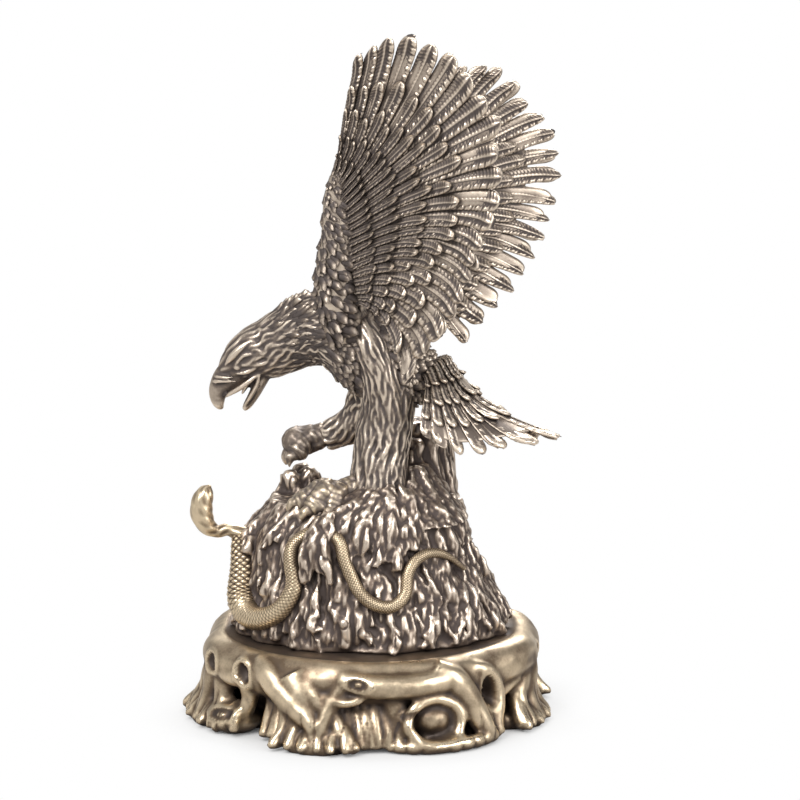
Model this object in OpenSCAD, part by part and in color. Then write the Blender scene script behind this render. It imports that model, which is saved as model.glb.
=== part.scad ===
// Bronze statuette: an eagle with raised wings seizes a snake on a crag, on a
// stand carved like root wood.  It is a bench assembly of castings: stand,
// crag, snake, body, two wings, tail and two feet, joined by dowels, a stud
// and one screw from below.  Millimetres, +Z up, the stand's feet on z = 0.
// The bird looks towards -X and its left wing is on the -Y side.

/* [Stand] */
// Radius of the stand's top plate
plate_r = 15.4; // [14.8:0.1:16.4]
// Radius that the toes of the stand reach
foot_r = 17.7; // [17:0.1:18.4]
// Height of the plate's top above the table
stand_h = 8; // [7:0.1:9.5]
// Thickness of the plate's rounded rim
rim_t = 3.1; // [2.4:0.1:3.8]
// Number of legs round the stand
leg_count = 7; // [5:1:9]
// Wall of the hollow castings
wall = 1.3; // [1:0.1:1.8]

/* [Crag] */
// Height of the ledge that the feet grip, above the plate
ledge_h = 12.5; // [11:0.1:14]
// Height of the peak that carries the body, above the ledge
peak_h = 7; // [6.5:0.1:7.6]
// Depth of the furrows that run down the crag
furrow = 0.75; // [0.3:0.05:1]
// Number of ridges between the furrows
ridge_count = 14; // [10:1:16]

/* [Snake] */
// Thickness of the snake's body
snake_d = 1.6; // [1.2:0.1:1.9]
// How far the snake's axis stands proud of the crag
snake_lift = 0.25; // [0.1:0.05:0.45]

/* [Wings] */
// Flight feathers in each wing
feather_count = 18; // [14:1:20]
// Half thickness of a feather at its edge
vane_t = 0.17; // [0.14:0.01:0.24]
// Height of a feather's shaft over its edge
shaft_t = 0.24; // [0.12:0.01:0.32]
// Step from one row of coverts down to the next
covert_step = 0.2; // [0.12:0.01:0.26]

/* [Tail] */
// Feathers in the tail
tail_count = 9; // [7:1:12]

/* [Joints] */
// Diameter of the screw that holds the crag to the stand
screw_d = 3; // [2.5:0.1:3.5]
// Length of the screw under its head
screw_l = 8; // [6.5:0.5:9]
// Diameter of the screw's head
screw_head_d = 5.5; // [5:0.1:6.2]
// Height of the screw's head
screw_head_h = 2; // [1.4:0.1:2.4]
// Width across the flats of the screw's hexagon socket
screw_key = 2; // [1.5:0.5:2.5]
// Diameter of the washer
washer_d = 7; // [6.5:0.1:8]
// Thickness of the washer
washer_t = 0.5; // [0.4:0.1:0.8]
// Diameter of the dowels in the wing and tail joints
dowel_d = 1.1; // [0.8:0.1:1.3]
// Length of those dowels
dowel_l = 3.4; // [2.6:0.2:4]
// Diameter of the stud between crag and body
stud_d = 2; // [1.5:0.1:2.4]
// Length of that stud
stud_l = 7; // [5:0.5:8]
// Diameter of the locating pin between stand and crag
pin_d = 1.5; // [1:0.1:2]
// Length of that pin
pin_l = 3.2; // [2.6:0.2:3.6]
// Radial clearance round screw, dowels, stud and pin
fit = 0.05; // [0.03:0.01:0.1]

/* [Hidden] */

bronze = "#8f7443";
bright_bronze = "#b3975c";
dark_bronze = "#6d5835";
steel = "#b9bcc0";

perch_z = stand_h + ledge_h;   // the ledge, and the zero of every eagle piece
peak_z = perch_z + peak_h;
bore_fn = 24;                  // sides of a drilled hole
eps = 0.01;

// ---------------------------------------------------------------- geometry
function lerp(a, b, t) = a + (b - a) * t;
function clamp01(t) = max(0, min(1, t));
function smooth(t) = let (c = clamp01(t)) c * c * (3 - 2 * c);
function unit(v) = v / norm(v);
function up(v, h) = v + [0, 0, h];

// Catmull-Rom curve through evenly spaced knots, t from 0 to 1
function spline(p, t) =
    let (n = len(p) - 1, s = clamp01(t) * n, i = min(floor(s), n - 1), f = s - i)
    let (a = p[max(i - 1, 0)], b = p[i], c = p[i + 1], d = p[min(i + 2, n)])
    0.5 * (2 * b + (c - a) * f + (2 * a - 5 * b + 4 * c - d) * f * f
           + (3 * b - a - 3 * c + d) * f * f * f);

function bezier(a, b, c, t) = a * (1 - t) * (1 - t) + 2 * b * t * (1 - t) + c * t * t;

// 1 on a ridge's crest and 0 in the furrow; sharp above 1, round below
function crest(turns, sharp = 1) = pow(abs(cos(180 * turns)), sharp);

// Side faces between rings of n points, and the two ends as fans round a middle point
function mean(p, i = 0) = i == len(p) - 1 ? p[i] / len(p) : p[i] / len(p) + mean(p, i + 1);

module skin(rings) {
    n = len(rings[0]);
    m = len(rings);
    ends = [mean(rings[0]), mean(rings[m - 1])];
    points = concat([for (r = rings) for (p = r) p], ends);
    sides = [for (i = [0:m - 2]) for (j = [0:n - 1]) let (k = (j + 1) % n)
             each [[i * n + j, (i + 1) * n + j, (i + 1) * n + k],
                   [i * n + j, (i + 1) * n + k, i * n + k]]];
    first = [for (j = [0:n - 1]) [j, (j + 1) % n, m * n]];
    last = [for (j = [0:n - 1]) [(m - 1) * n + (j + 1) % n, (m - 1) * n + j, m * n + 1]];
    polyhedron(points, concat(sides, first, last));
}

// A thin sheet: every column holds its front points and then its back points,
// tip first, so its two ends close as ladders
module sheet(columns) {
    n = len(columns[0]);
    h = n / 2;
    m = len(columns);
    points = [for (c = columns) for (p = c) p];
    sides = [for (i = [0:m - 2]) for (j = [0:n - 1]) let (k = (j + 1) % n)
             each [[i * n + j, (i + 1) * n + j, (i + 1) * n + k],
                   [i * n + j, (i + 1) * n + k, i * n + k]]];
    first = [for (j = [0:h - 2]) each [[j, j + 1, n - 2 - j], [j, n - 2 - j, n - 1 - j]]];
    e = (m - 1) * n;
    last = [for (j = [0:h - 2]) each [[e + j, e + n - 2 - j, e + j + 1],
                                      [e + j, e + n - 1 - j, e + n - 2 - j]]];
    polyhedron(points, concat(sides, first, last));
}

// A ring of n points round c, square to the direction t, with radii [across, upright]
function ring(c, t, r, n, lift = [0, 0, 1]) =
    let (a = unit(cross(lift, t)), b = cross(t, a))
    [for (j = [0:n - 1]) let (q = 360 * j / n) c + r[0] * cos(q) * a + r[1] * sin(q) * b];

// A limb along a spline of [x, y, z] knots with a spline of [across, upright] radii
module limb(knots, radii, sides, steps, lift = [0, 0, 1]) {
    skin([for (i = [0:steps]) let (t = i / steps, d = 0.01)
          ring(spline(knots, t), unit(spline(knots, t + d) - spline(knots, t - d)),
               spline(radii, t), sides, lift)]);
}

// A drilled hole whose flats clear a pin of diameter d, centred at p along axis v
module bore(p, v, d, l) {
    along(p, v) cylinder(r = (d / 2 + fit) / cos(180 / bore_fn), h = l, center = true, $fn = bore_fn);
}

module along(p, v) {
    translate(p)
        rotate([0, acos(v[2] / norm(v)), atan2(v[1], v[0])]) children();
}

// ---------------------------------------------------------------- stand
leg_phase = 188;               // direction of the first leg, were they evenly spread
leg_sway = 12;                 // how far the legs gather at the front, in degrees
waist_r = plate_r - 3.3;       // radius between the legs, under the rim
plate_t = 2.2;                 // plate over the hollow
toe_depth = 0.3;               // how deep the creases between a leg's toes are
leg_step = 360 / leg_count;
leg_sides = 10;                // faces of the outline from one leg to the next
rim_z = stand_h - rim_t;
seat_r = plate_r - 1.4;        // where the rim rolls over onto the plate's top
boss_r = washer_d / 2 + 1.2;
pin_at = [-6, 3.5];

// [height, radius between the legs, radius on a leg, how narrow the leg is]
stand_profile = [
    [0, waist_r - 0.7, foot_r - 0.5, 0.9],
    [0.8, waist_r - 0.4, foot_r, 0.8],
    [1.8, waist_r - 0.9, foot_r - 1.1, 1],
    [0.62 * rim_z, waist_r - 1.2, plate_r - 1.7, 1.7],
    [rim_z, waist_r + 0.2, plate_r - 1, 1.2],
    [rim_z + 0.25 * rim_t, plate_r - 0.7, plate_r - 0.1, 1],
    [rim_z + 0.55 * rim_t, plate_r - 0.2, plate_r + 0.3, 1],
    [rim_z + 0.85 * rim_t, plate_r - 0.7, plate_r - 0.3, 1],
    [stand_h, seat_r - 0.2, seat_r, 1]];

// Direction of leg s, or of a place between two legs
function leg_way(s) = let (q = leg_phase + s * leg_step) q + leg_sway * cos(q - 235);

function stand_ring(row) = [for (j = [0:leg_sides * leg_count - 1])
    let (q = leg_way(j / leg_sides))
    let (leg = crest(j / leg_sides, row[3]), toe = row[0] < rim_z ? toe_depth * leg * cos(180 * j) : 0)
    let (r = lerp(row[1], row[2], leg) + toe + 0.12 * sin(5 * q + 90 * row[0]))
    [r * cos(q), r * sin(q), row[0]]];

module knuckle(r, q, z, size) {
    rotate(q) translate([r, 0, z]) sphere(size, $fn = 6);
}

module stand_leg() {
    // the roots that tie leg to leg
    hull() {
        knuckle(plate_r - 1.6, 0.1 * leg_step, rim_z + 0.2, 0.8);
        knuckle(foot_r - 2.6, 0.5 * leg_step, 0.8, 0.7);
    }
}

module stand() {
    color(bronze) difference() {
        union() {
            skin([for (row = stand_profile) stand_ring(row)]);
            for (k = [0:leg_count - 1]) rotate(leg_way(k)) stand_leg();
            hull() for (s = [-1, 1]) knuckle(foot_r - 2.6, leg_way(1.72 + 0.03 * s), 2, 1.2);
        }
        difference() {
            translate([0, 0, -eps])
                cylinder(r1 = waist_r - 0.7 - wall, r2 = waist_r - 1.6 - wall, h = stand_h - plate_t + eps, $fn = 32);
            translate([0, 0, stand_h - plate_t - 1.2]) cylinder(r = boss_r, h = 2, $fn = 32);
        }
        bore([0, 0, stand_h], [0, 0, 1], screw_d, 12);
        bore([pin_at[0], pin_at[1], stand_h], [0, 0, 1], pin_d, pin_l + 2 * fit);
    }
}

boss_z = stand_h - plate_t - 1.2;

module screw_washer() {
    color(steel) difference() {
        translate([0, 0, boss_z - washer_t]) cylinder(d = washer_d, h = washer_t, $fn = 48);
        translate([0, 0, boss_z - 2 * washer_t]) cylinder(d = screw_d + 4 * fit, h = 3 * washer_t, $fn = 48);
    }
}

module stand_screw() {
    head_z = boss_z - washer_t - screw_head_h;
    color(steel) difference() {
        union() {
            translate([0, 0, head_z]) cylinder(d = screw_head_d, h = screw_head_h, $fn = 48);
            translate([0, 0, head_z]) cylinder(d = screw_d, h = screw_head_h + screw_l, $fn = 48);
        }
        translate([0, 0, head_z - eps])
            cylinder(r = screw_key / sqrt(3), h = 0.6 * screw_head_h, $fn = 6);
    }
}

module locating_pin() {
    color(steel) translate([pin_at[0], pin_at[1], stand_h - pin_l / 2])
        cylinder(d = pin_d, h = pin_l, $fn = 48);
}

// ---------------------------------------------------------------- crag
crag_r = plate_r - 2.5;        // half width of the crag's foot
seat_gap = 0.12;               // clearance of what is let into the crag

// [centre, half width, half depth] as shares of crag_r, from the plate to the ledge
crag_profile = [[0, 1, 0.82], [-0.02, 0.95, 0.78], [-0.05, 0.87, 0.72], [-0.09, 0.81, 0.66],
                [-0.02, 0.7, 0.57]];

// The crag's skin at direction q and share f of the ledge's height, out over its mean face
function crag(q, f, out = 0) = let (s = spline(crag_profile, f) * crag_r)
    [s[0] + (s[1] + out) * cos(q), (s[2] + out) * sin(q), stand_h + f * ledge_h];

// Ridges that wander as they climb, broken by steps
function ridges(q, f) = let (turn = ridge_count * (q / 360 + 0.035 * sin(330 * f + 2 * q)))
    furrow * (2 * crest(turn, 0.7) - 1.25) + 0.45 * furrow * sin(7 * q + 500 * f) * sin(900 * f + 3 * q);

crag_sides = 3 * ridge_count;
crag_steps = 10;
peak_at = [3.4, 2.2];          // middle of the peak
peak_size = [4.6, 4.2];        // its half width and half depth on the ledge
shoulder_at = [5.2, -2.6];     // the shoulder that climbs from the ledge towards the peak
shoulder_size = [3.9, 4.2];    // its half width and half depth on the ledge
shoulder_h = 3.6;              // its height above the ledge
perch_at = [-6.2, 3.2];        // the outcrop under the clenched foot
perch_h = 2.6;                 // its height above the ledge

module peak() {
    skin([for (i = [0:4]) [for (j = [0:17])
        let (f = i / 4, q = 20 * j, s = 1 - 0.16 * f, r = 0.5 * furrow * cos(180 * (j + (i % 2))))
        [peak_at[0] + (peak_size[0] * s + r) * cos(q), peak_at[1] + (peak_size[1] * s + r) * sin(q),
         perch_z - 1 + f * (peak_h + 1)]]]);
}

module shoulder() {
    skin([for (i = [0:4]) [for (j = [0:15])
        let (f = i / 4, q = 22.5 * j, s = 1 - 0.55 * f, r = 0.3 * furrow * cos(180 * (j + i % 2)))
        [shoulder_at[0] - 1.4 * f + (shoulder_size[0] * s + r) * cos(q),
         shoulder_at[1] + 1.6 * f + (shoulder_size[1] * s + r) * sin(q), perch_z - 1.5 + f * (shoulder_h + 1.5)]]]);
}

module outcrop() {
    skin([for (i = [0:3]) [for (j = [0:13])
        let (f = i / 3, q = 360 * j / 14, r = 2.3 - 0.7 * f + 0.25 * cos(180 * j))
        [perch_at[0] + r * cos(q), perch_at[1] + r * sin(q), perch_z - 1 + f * (perch_h + 1)]]]);
}

// Broken slabs that lean on the crag
module slab(q, f, tall, wide) {
    hull() {
        translate(crag(q, f, -0.2)) sphere(wide, $fn = 6);
        translate(crag(q + 3, f + tall, -0.9)) sphere(wide * 0.7, $fn = 5);
    }
}

module crag_block() {
    skin([for (i = [0:crag_steps]) [for (j = [0:crag_sides - 1])
        let (f = i / crag_steps, q = 360 * j / crag_sides)
        crag(q, f, ridges(q, f) * (i == crag_steps ? 0.5 : 1))]]);
}

module crag_rock() {
    color(dark_bronze) difference() {
        union() {
            crag_block();
            peak();
            shoulder();
            outcrop();
            for (k = [0:7]) slab(225 + 41 * k, 0.1 + 0.12 * (k % 3), 0.3 + 0.08 * (k % 2), 1.4);
        }
        snake_tube(snake_d / 2 + seat_gap);
        up_from_perch() leg_core(seat_gap);
        bore([0, 0, stand_h], [0, 0, 1], screw_d, 2 * (screw_l + 1));
        bore([pin_at[0], pin_at[1], stand_h], [0, 0, 1], pin_d, pin_l + 2 * fit);
        bore(stud_at + [0, 0, perch_z], [0, 0, 1], stud_d, stud_l + 2 * fit);
    }
}

module up_from_perch() {
    translate([0, 0, perch_z]) children();
}

// ---------------------------------------------------------------- snake
// The snake's way over the crag: [direction, share of the ledge's height]
snake_route = [[190, 0.744], [194, 0.608], [198, 0.448], [202, 0.304], [209, 0.208], [219, 0.192],
               [230, 0.272], [237, 0.448], [237, 0.64], [238, 0.784], [245, 0.864], [254, 0.864],
               [262, 0.792], [265, 0.64], [268, 0.48], [274, 0.376], [282, 0.352], [289, 0.432],
               [293, 0.576], [300, 0.672], [309, 0.704], [319, 0.656], [327, 0.544]];
snake_turns = 46;              // rings along the body
// How thick the snake is along its way, as shares of snake_d
snake_girth = [0.85, 1.25, 1.4, 1.15, 1, 0.9, 0.85, 0.85, 0.8, 0.8, 0.75, 0.7, 0.6, 0.3];
// The neck and hood, out from the crag's left side: [point from the first knot, [across, thick]]
snake_neck = [[0, 0, 0], [-1.4, 0, 0.5], [-2.8, -0.2, 0.4], [-3.9, -0.3, 1.8], [-3.7, -0.3, 3.5],
              [-3, -0.1, 4.9]];
hood_size = [[0.75, 0.75], [0.55, 0.55], [0.95, 0.6], [1.5, 0.7], [1.2, 0.65], [0.35, 0.35]];

function snake_at(t) = let (k = spline(snake_route, t)) crag(k[0], k[1], snake_lift);

module snake_tube(r) {
    skin([for (i = [0:snake_turns])
        let (t = i / snake_turns, d = 0.004, g = r - snake_d / 2 + spline([for (s = snake_girth) [s]], t)[0] * snake_d / 2)
        ring(snake_at(t), unit(snake_at(t + d) - snake_at(t - d)), [g, g], 8, [0.01, -1, 0.02])]);
}

module snake() {
    color(bright_bronze) union() {
        snake_tube(snake_d / 2);
        translate(snake_at(0)) {
            limb(snake_neck, hood_size, 8, 10, [0, 1, 0]);
            for (k = [0:1]) hull() {
                translate([-3.9 + 0.3 * k, -0.8, 1.4 + 1.4 * k]) sphere(0.3, $fn = 4);
                translate([-3.1 + 0.3 * k, -0.8, 1.5 + 1.4 * k]) sphere(0.3, $fn = 4);
            }
        }
        for (k = [0:5]) hull() {
            translate(snake_at(0.03 + 0.03 * k) + [0.2, -0.8, 0]) sphere(0.3, $fn = 4);
            translate(snake_at(0.05 + 0.03 * k) + [0.2, -0.8, 0]) sphere(0.2, $fn = 4);
        }
    }
}

// ---------------------------------------------------------------- eagle
// All eagle pieces are placed from the perch, and up_from_perch() lifts them.
left_shoulder = [-2.4, -3.6, 17.8];
left_arm_axis = unit([-0.05, -0.62, 0.78]);
right_shoulder = [-1.6, 3.6, 17.6];
right_arm_axis = unit([0.25, 0.5, 0.83]);
rump_at = [5.4, -0.4, 12];
rump_axis = unit([1, -0.05, -0.1]);
shin_at = [-2.6, 2.6, 6.2];
shin_axis = unit([-1, 0.1, -0.55]);
stud_at = [0.8, -3.7, 0];

body_spine = [[6.3, -0.4, 11.4], [3.2, -0.8, 12.2], [0.4, -0.8, 14], [-2.2, -0.2, 15.9], [-4.6, 0.7, 16],
              [-6.8, 1.4, 15.2], [-9, 1.9, 14], [-11, 2, 13.3], [-12.6, 2, 12.2], [-13.9, 2, 11.2]];
body_girth = [[2.1, 1.9], [3, 3.1], [3.6, 4.1], [3.7, 3.9], [3.3, 3.5], [3, 3.25], [2.7, 3.1], [2.35, 2.55],
              [1.75, 1.9], [1.15, 1.2]];
leg_spine = [[2, -1.9, 11.5], [1.5, -2.6, 8], [1, -3.2, 4.5], [0.8, -3.7, 0]];
leg_girth = [[3, 2.6], [3, 2.8], [2.85, 2.7], [2.95, 2.9]];

// Overlapping scales: rows along the body, each row half a scale on from the last
function scales(i, j, size) = size * (0.5 + 0.5 * cos(180 * (i + j))) ;

module feathered_limb(knots, radii, sides, steps, size, grow = 0) {
    skin([for (i = [0:steps])
        let (t = i / steps, d = 0.01, c = spline(knots, t), v = unit(spline(knots, t + d) - spline(knots, t - d)),
             r = spline(radii, t) + [grow, grow], a = unit(cross([0, 0.02, 1], v)), b = cross(v, a))
        [for (j = [0:sides - 1]) let (q = 360 * j / sides, s = i == steps ? 0 : scales(i, j, size))
         c + (r[0] - s) * cos(q) * a + (r[1] - s) * sin(q) * b]]);
}

// The near leg in its feather trousers: ropes that wander down to the ledge
module leg_core(grow) {
    skin([for (i = [0:4]) let (t = 1 - i / 4, c = spline(leg_spine, t), r = spline(leg_girth, t))
        [for (j = [0:17]) let (q = 20 * j)
         [c[0] + (r[0] + 0.2 + grow) * cos(q), c[1] + (r[1] + 0.2 + grow) * sin(q), c[2]]]]);
}

module beyond(p, v, r, l) {
    along(p, v) cylinder(r = r, h = l, $fn = 32);
}

// What is cut away where a neighbour seats
module joint_faces() {
    beyond(left_shoulder, left_arm_axis, 2.6, 4);
    beyond(right_shoulder, right_arm_axis, 2.5, 4);
    beyond(rump_at, rump_axis, 4.5, 6);
    beyond(shin_at, shin_axis, 2.2, 4);
}

module torso(size, grow = 0) {
    feathered_limb(body_spine, body_girth, 18, 28, size, grow);
}

module thigh() {
    limb([[0, 1.6, 11.6], [-0.9, 2.2, 8.8], shin_at, shin_at + shin_axis], [[2.4, 2.4], [2.1, 2.1], [1.4, 1.4], [1, 1]],
         14, 9);
}

module near_leg() {
    skin([for (i = [0:8]) let (t = 1 - i / 8, c = spline(leg_spine, t), r = spline(leg_girth, t))
        [for (j = [0:23]) let (q = 15 * j, w = 0.3 * cos(180 * j + 60 * t) + 0.1 * sin(3 * q))
         [c[0] + (r[0] + w) * cos(q), c[1] + (r[1] + w) * sin(q), c[2]]]]);
}

// A pointed lock of feathers that lies along the neck
module lock(t, q, long) {
    c = spline(body_spine, t);
    r = spline(body_girth, t);
    e = spline(body_spine, t - long);
    s = spline(body_girth, t - long);
    hull() {
        translate(c + [0, (r[0] - 0.15) * cos(q), (r[1] - 0.15) * sin(q)]) sphere(0.3, $fn = 5);
        translate(e + [0, s[0] * cos(q + 6), s[1] * sin(q + 6)]) sphere(0.42, $fn = 5);
        translate(lerp(c, e, 1.35) + [0, (s[0] + 0.1) * cos(q + 8), (s[1] + 0.1) * sin(q + 8)]) sphere(0.12, $fn = 4);
    }
}

// The head's own forms, on its middle plane y = head_y
head_y = 2;
module at_head(x, y, z) {
    translate([x, head_y + y, z]) children();
}

module head() {
    // hooked upper beak, with the bar of its cere, and the lower beak, agape
    limb([[-12.4, head_y, 12], [-13.9, head_y, 11], [-15, head_y, 9.8], [-14.9, head_y, 8.4], [-13.9, head_y, 7.5]],
         [[1.5, 1.5], [1.15, 1.15], [0.85, 0.8], [0.5, 0.6], [0.12, 0.15]], 10, 9, [0, 1, 0]);
    hull() {
        at_head(-14.5, 0, 11.2) sphere(0.7, $fn = 7);
        at_head(-13.2, 0, 10.7) sphere(1.5, $fn = 7);
    }
    limb([[-9.8, head_y, 11.6], [-10.7, head_y, 10.4], [-11.3, head_y, 8.9], [-12.1, head_y, 7.7]],
         [[1.1, 1.5], [0.7, 1.2], [0.5, 0.85], [0.15, 0.2]], 8, 7, [0, 1, 0]);
    for (s = [-1, 1]) {
        // brow and eye
        hull() {
            at_head(-13.7, s * 1, 13) sphere(0.35, $fn = 6);
            at_head(-11.8, s * 2.15, 14.1) sphere(0.45, $fn = 6);
        }
        hull() {
            at_head(-12.6, s * 1.8, 12.5) sphere(0.42, $fn = 8);
            at_head(-12.2, s * 1.95, 12.5) sphere(0.42, $fn = 8);
        }
        for (k = [0:2]) lock(0.84 - 0.13 * k, (s > 0 ? 180 : 0) - s * (24 - 30 * (k % 2)), 0.1);
    }
    for (k = [0:2]) lock(0.86 - 0.13 * k, 90, 0.1);
}

module eagle_body() {
    color(bronze) up_from_perch() difference() {
        union() {
            difference() {
                union() {
                    torso(0.4);
                    thigh();
                    head();
                }
                translate([0, 0, -perch_z]) peak();
            }
            near_leg();
        }
        joint_faces();
        bore(stud_at, [0, 0, 1], stud_d, stud_l + 2 * fit);
        bore(left_shoulder, left_arm_axis, dowel_d, dowel_l + 2 * fit);
        bore(right_shoulder, right_arm_axis, dowel_d, dowel_l + 2 * fit);
        bore(rump_at, rump_axis, dowel_d, dowel_l + 2 * fit);
    }
}

module pin_along(p, v, d, l) {
    along(p, v) cylinder(d = d, h = l, center = true, $fn = 48);
}

module body_stud() {
    color(steel) up_from_perch() pin_along(stud_at, [0, 0, 1], stud_d, stud_l);
}

module wing_dowels() {
    color(steel) up_from_perch() {
        pin_along(left_shoulder, left_arm_axis, dowel_d, dowel_l);
        pin_along(right_shoulder, right_arm_axis, dowel_d, dowel_l);
    }
}

module tail_dowel() {
    color(steel) up_from_perch() pin_along(rump_at, rump_axis, dowel_d, dowel_l);
}

// ---------------------------------------------------------------- fans of feathers
// A fan is [roots, bends, tips]: share a sweeps across it and share v runs out along a feather
function fan_at(fan, a, v) = bezier(spline(fan[0], a), spline(fan[1], a), spline(fan[2], a), v);
function fan_normal(fan, a, v) = let (d = 0.01)
    unit(cross(fan_at(fan, min(a + d, 1), v) - fan_at(fan, max(a - d, 0), v),
               fan_at(fan, a, v + d) - fan_at(fan, a, v - d)));

// Points along one feather, root first: share of its length, and how many coverts lie over it there
function feather_rows(covert, tip) = [
    [0.02, 2], [covert[0], 2.2], [covert[0] + 0.03, 1], [covert[1], 1.25], [covert[1] + 0.03, 0],
    [0.95 * tip, 0.35], [tip, -0.2]];

// Three columns to a feather: its edge, its shaft, and the flank behind the shaft
feather_columns = [[0, 0, 0.91], [0.42, 1, 1], [0.75, 0.45, 0.975]];

function fan_column(fan, count, i, c, coverts) =
    let (a = (i + c[0]) / count, near = c[1], covert = [for (k = coverts) k - 0.045 * (1 - near)])
    let (rows = feather_rows(covert, c[2]))
    let (h = [for (r = rows) vane_t + shaft_t * near + covert_step * r[1]])
    let (p = [for (r = rows) fan_at(fan, a, r[0])], n = [for (r = rows) fan_normal(fan, a, r[0])], m = len(rows))
    concat([for (k = [m - 1:-1:0]) p[k] + h[k] * n[k]], [for (k = [0:m - 1]) p[k] - 0.8 * h[k] * n[k]]);

module feather_fan(fan, count, coverts) {
    sheet(concat([for (i = [0:count - 1]) for (c = feather_columns) fan_column(fan, count, i, c, coverts)],
                 [fan_column(fan, count, count - 1, [1, 0, 0.93], coverts)]));
}

// Small round coverts that cover an arm in rows
module arm_scales(arm, girth, rows, round_r) {
    for (k = [0:rows - 1]) {
        t = 0.2 + 0.6 * k / rows;
        c = spline(arm, t);
        r = spline(girth, t)[0];
        q = 70 * (k % 2) - 35;
        for (s = [-1, 1]) hull() {
            translate(c + [r * sin(q) * 0.9, s * (r - 0.1) * cos(q), 0]) sphere(round_r, $fn = 5);
            translate(c + [r * sin(q) * 0.9 + 0.25, s * (r - 0.3) * cos(q), 0.9]) sphere(round_r * 0.7, $fn = 5);
        }
    }
}

left_fan = [
    [[-2.8, -6.2, 32], [-2.4, -6.1, 29.7], [-2, -5.8, 26.5], [-1.4, -5.6, 23], [-0.4, -5.4, 19.8]],
    [[-2.3, -7.4, 37.5], [3.8, -10, 36.6], [5.8, -10.8, 32.1], [5.6, -10, 27], [2.6, -7.6, 18.6]],
    [[-1.2, -7.8, 42.4], [2.4, -9.6, 44.7], [7.4, -11.2, 43.7], [11.5, -12.4, 38.7], [12.2, -12.8, 32.7],
     [10.8, -12.3, 26.7], [9.3, -11.2, 22.1], [7, -9.6, 17.8], [3.2, -7.6, 12.2]]];
left_arm = [[-1.8, -2, 15.5], [-2.8, -4, 19.2], [-3, -5, 22.8], [-2.7, -5.7, 26.2], [-2.8, -6.1, 29.4],
            [-2.2, -6.5, 33], [-1.4, -7.1, 37.5], [-1, -7.7, 42]];
left_arm_girth = [[2.4, 2.4], [2.2, 2.2], [2.1, 1.9], [1.85, 1.6], [1.45, 1.2], [0.9, 0.8], [0.5, 0.45], [0.3, 0.3]];

right_fan = [
    [[0.6, 4.4, 31.5], [0.8, 4.5, 29], [1.1, 4.5, 26], [1.6, 4.4, 22.5], [2.8, 4.2, 18.8]],
    [[1.6, 5.4, 35], [7.6, 7.5, 34.5], [10.6, 9, 30.5], [9.6, 8.4, 25], [6.4, 6.2, 17.6]],
    [[3, 5.8, 37.6], [7.2, 7.3, 39.8], [12, 9, 39.6], [15.4, 10.8, 35.6], [18, 12.2, 30.9], [17.2, 12.2, 25.2],
     [15.2, 10.8, 20.8], [12.4, 8.6, 16.9], [8.4, 6, 12.9]]];
right_arm = [[-1.9, 2, 15.5], [-1.3, 3.8, 18.8], [-0.9, 4.5, 22.5], [-0.4, 4.7, 26], [0, 4.8, 29], [0.8, 5, 32],
             [2, 5.5, 35.2], [3, 5.8, 37.3]];
right_arm_girth = [[2.3, 2.3], [2.1, 2.1], [1.9, 1.7], [1.7, 1.5], [1.3, 1.1], [0.8, 0.7], [0.45, 0.4], [0.3, 0.3]];

module wing(fan, arm, girth, shoulder, axis) {
    color(bronze) up_from_perch() difference() {
        union() {
            feather_fan(fan, feather_count, [0.34, 0.67]);
            limb(arm, girth, 12, 13);
            arm_scales(arm, girth, 4, 0.6);
        }
        beyond(shoulder, -axis, 9, 9);
        torso(0, 0.15);
        bore(shoulder, axis, dowel_d, dowel_l + 2 * fit);
    }
}

module left_wing() {
    wing(left_fan, left_arm, left_arm_girth, left_shoulder, left_arm_axis);
}

module right_wing() {
    wing(right_fan, right_arm, right_arm_girth, right_shoulder, right_arm_axis);
}

tail_fan = [
    [[5.6, -3, 12], [5.9, -2.4, 12.8], [6.4, -1.6, 13.3], [6.8, -0.5, 13.5], [6.6, 0.6, 13.2], [6, 1.5, 12.6],
     [5.6, 2, 11.8]],
    [[5, -6, 10.4], [6.8, -6.4, 10], [8.2, -4.6, 9.4], [8.6, -1.8, 8.8], [9.2, 1, 8.8], [8, 3.4, 9.4],
     [6.6, 4.4, 9.8]],
    [[4.5, -6.8, 7.4], [8, -7.9, 5.8], [12.2, -6.8, 6], [17.6, -3.2, 6.5], [15.8, 1.4, 5.6], [12, 4.4, 5.2],
     [8, 5.8, 5.8]]];

module tail() {
    color(bronze) up_from_perch() difference() {
        union() {
            feather_fan(tail_fan, tail_count, [0.3, 0.62]);
            limb([rump_at - [1, 0, 0], rump_at + [1, -0.2, -0.1], [8.4, -1, 10.6], [10.2, -1.4, 9.2]],
                 [[2.1, 2], [2, 1.8], [1.4, 1], [0.5, 0.3]], 14, 9);
            for (k = [-4:3]) hull() {
                translate([6.2, -0.5 + 0.5 * k, 13 - 0.12 * k * k]) sphere(0.55, $fn = 5);
                translate([8.1, -0.9 + 0.7 * k, 11.6 - 0.16 * k * k]) sphere(0.5, $fn = 5);
            }
        }
        beyond(rump_at, -rump_axis, 9, 9);
        translate([0, 0, -perch_z]) peak();
        bore(rump_at, rump_axis, dowel_d, dowel_l + 2 * fit);
    }
}

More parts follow.
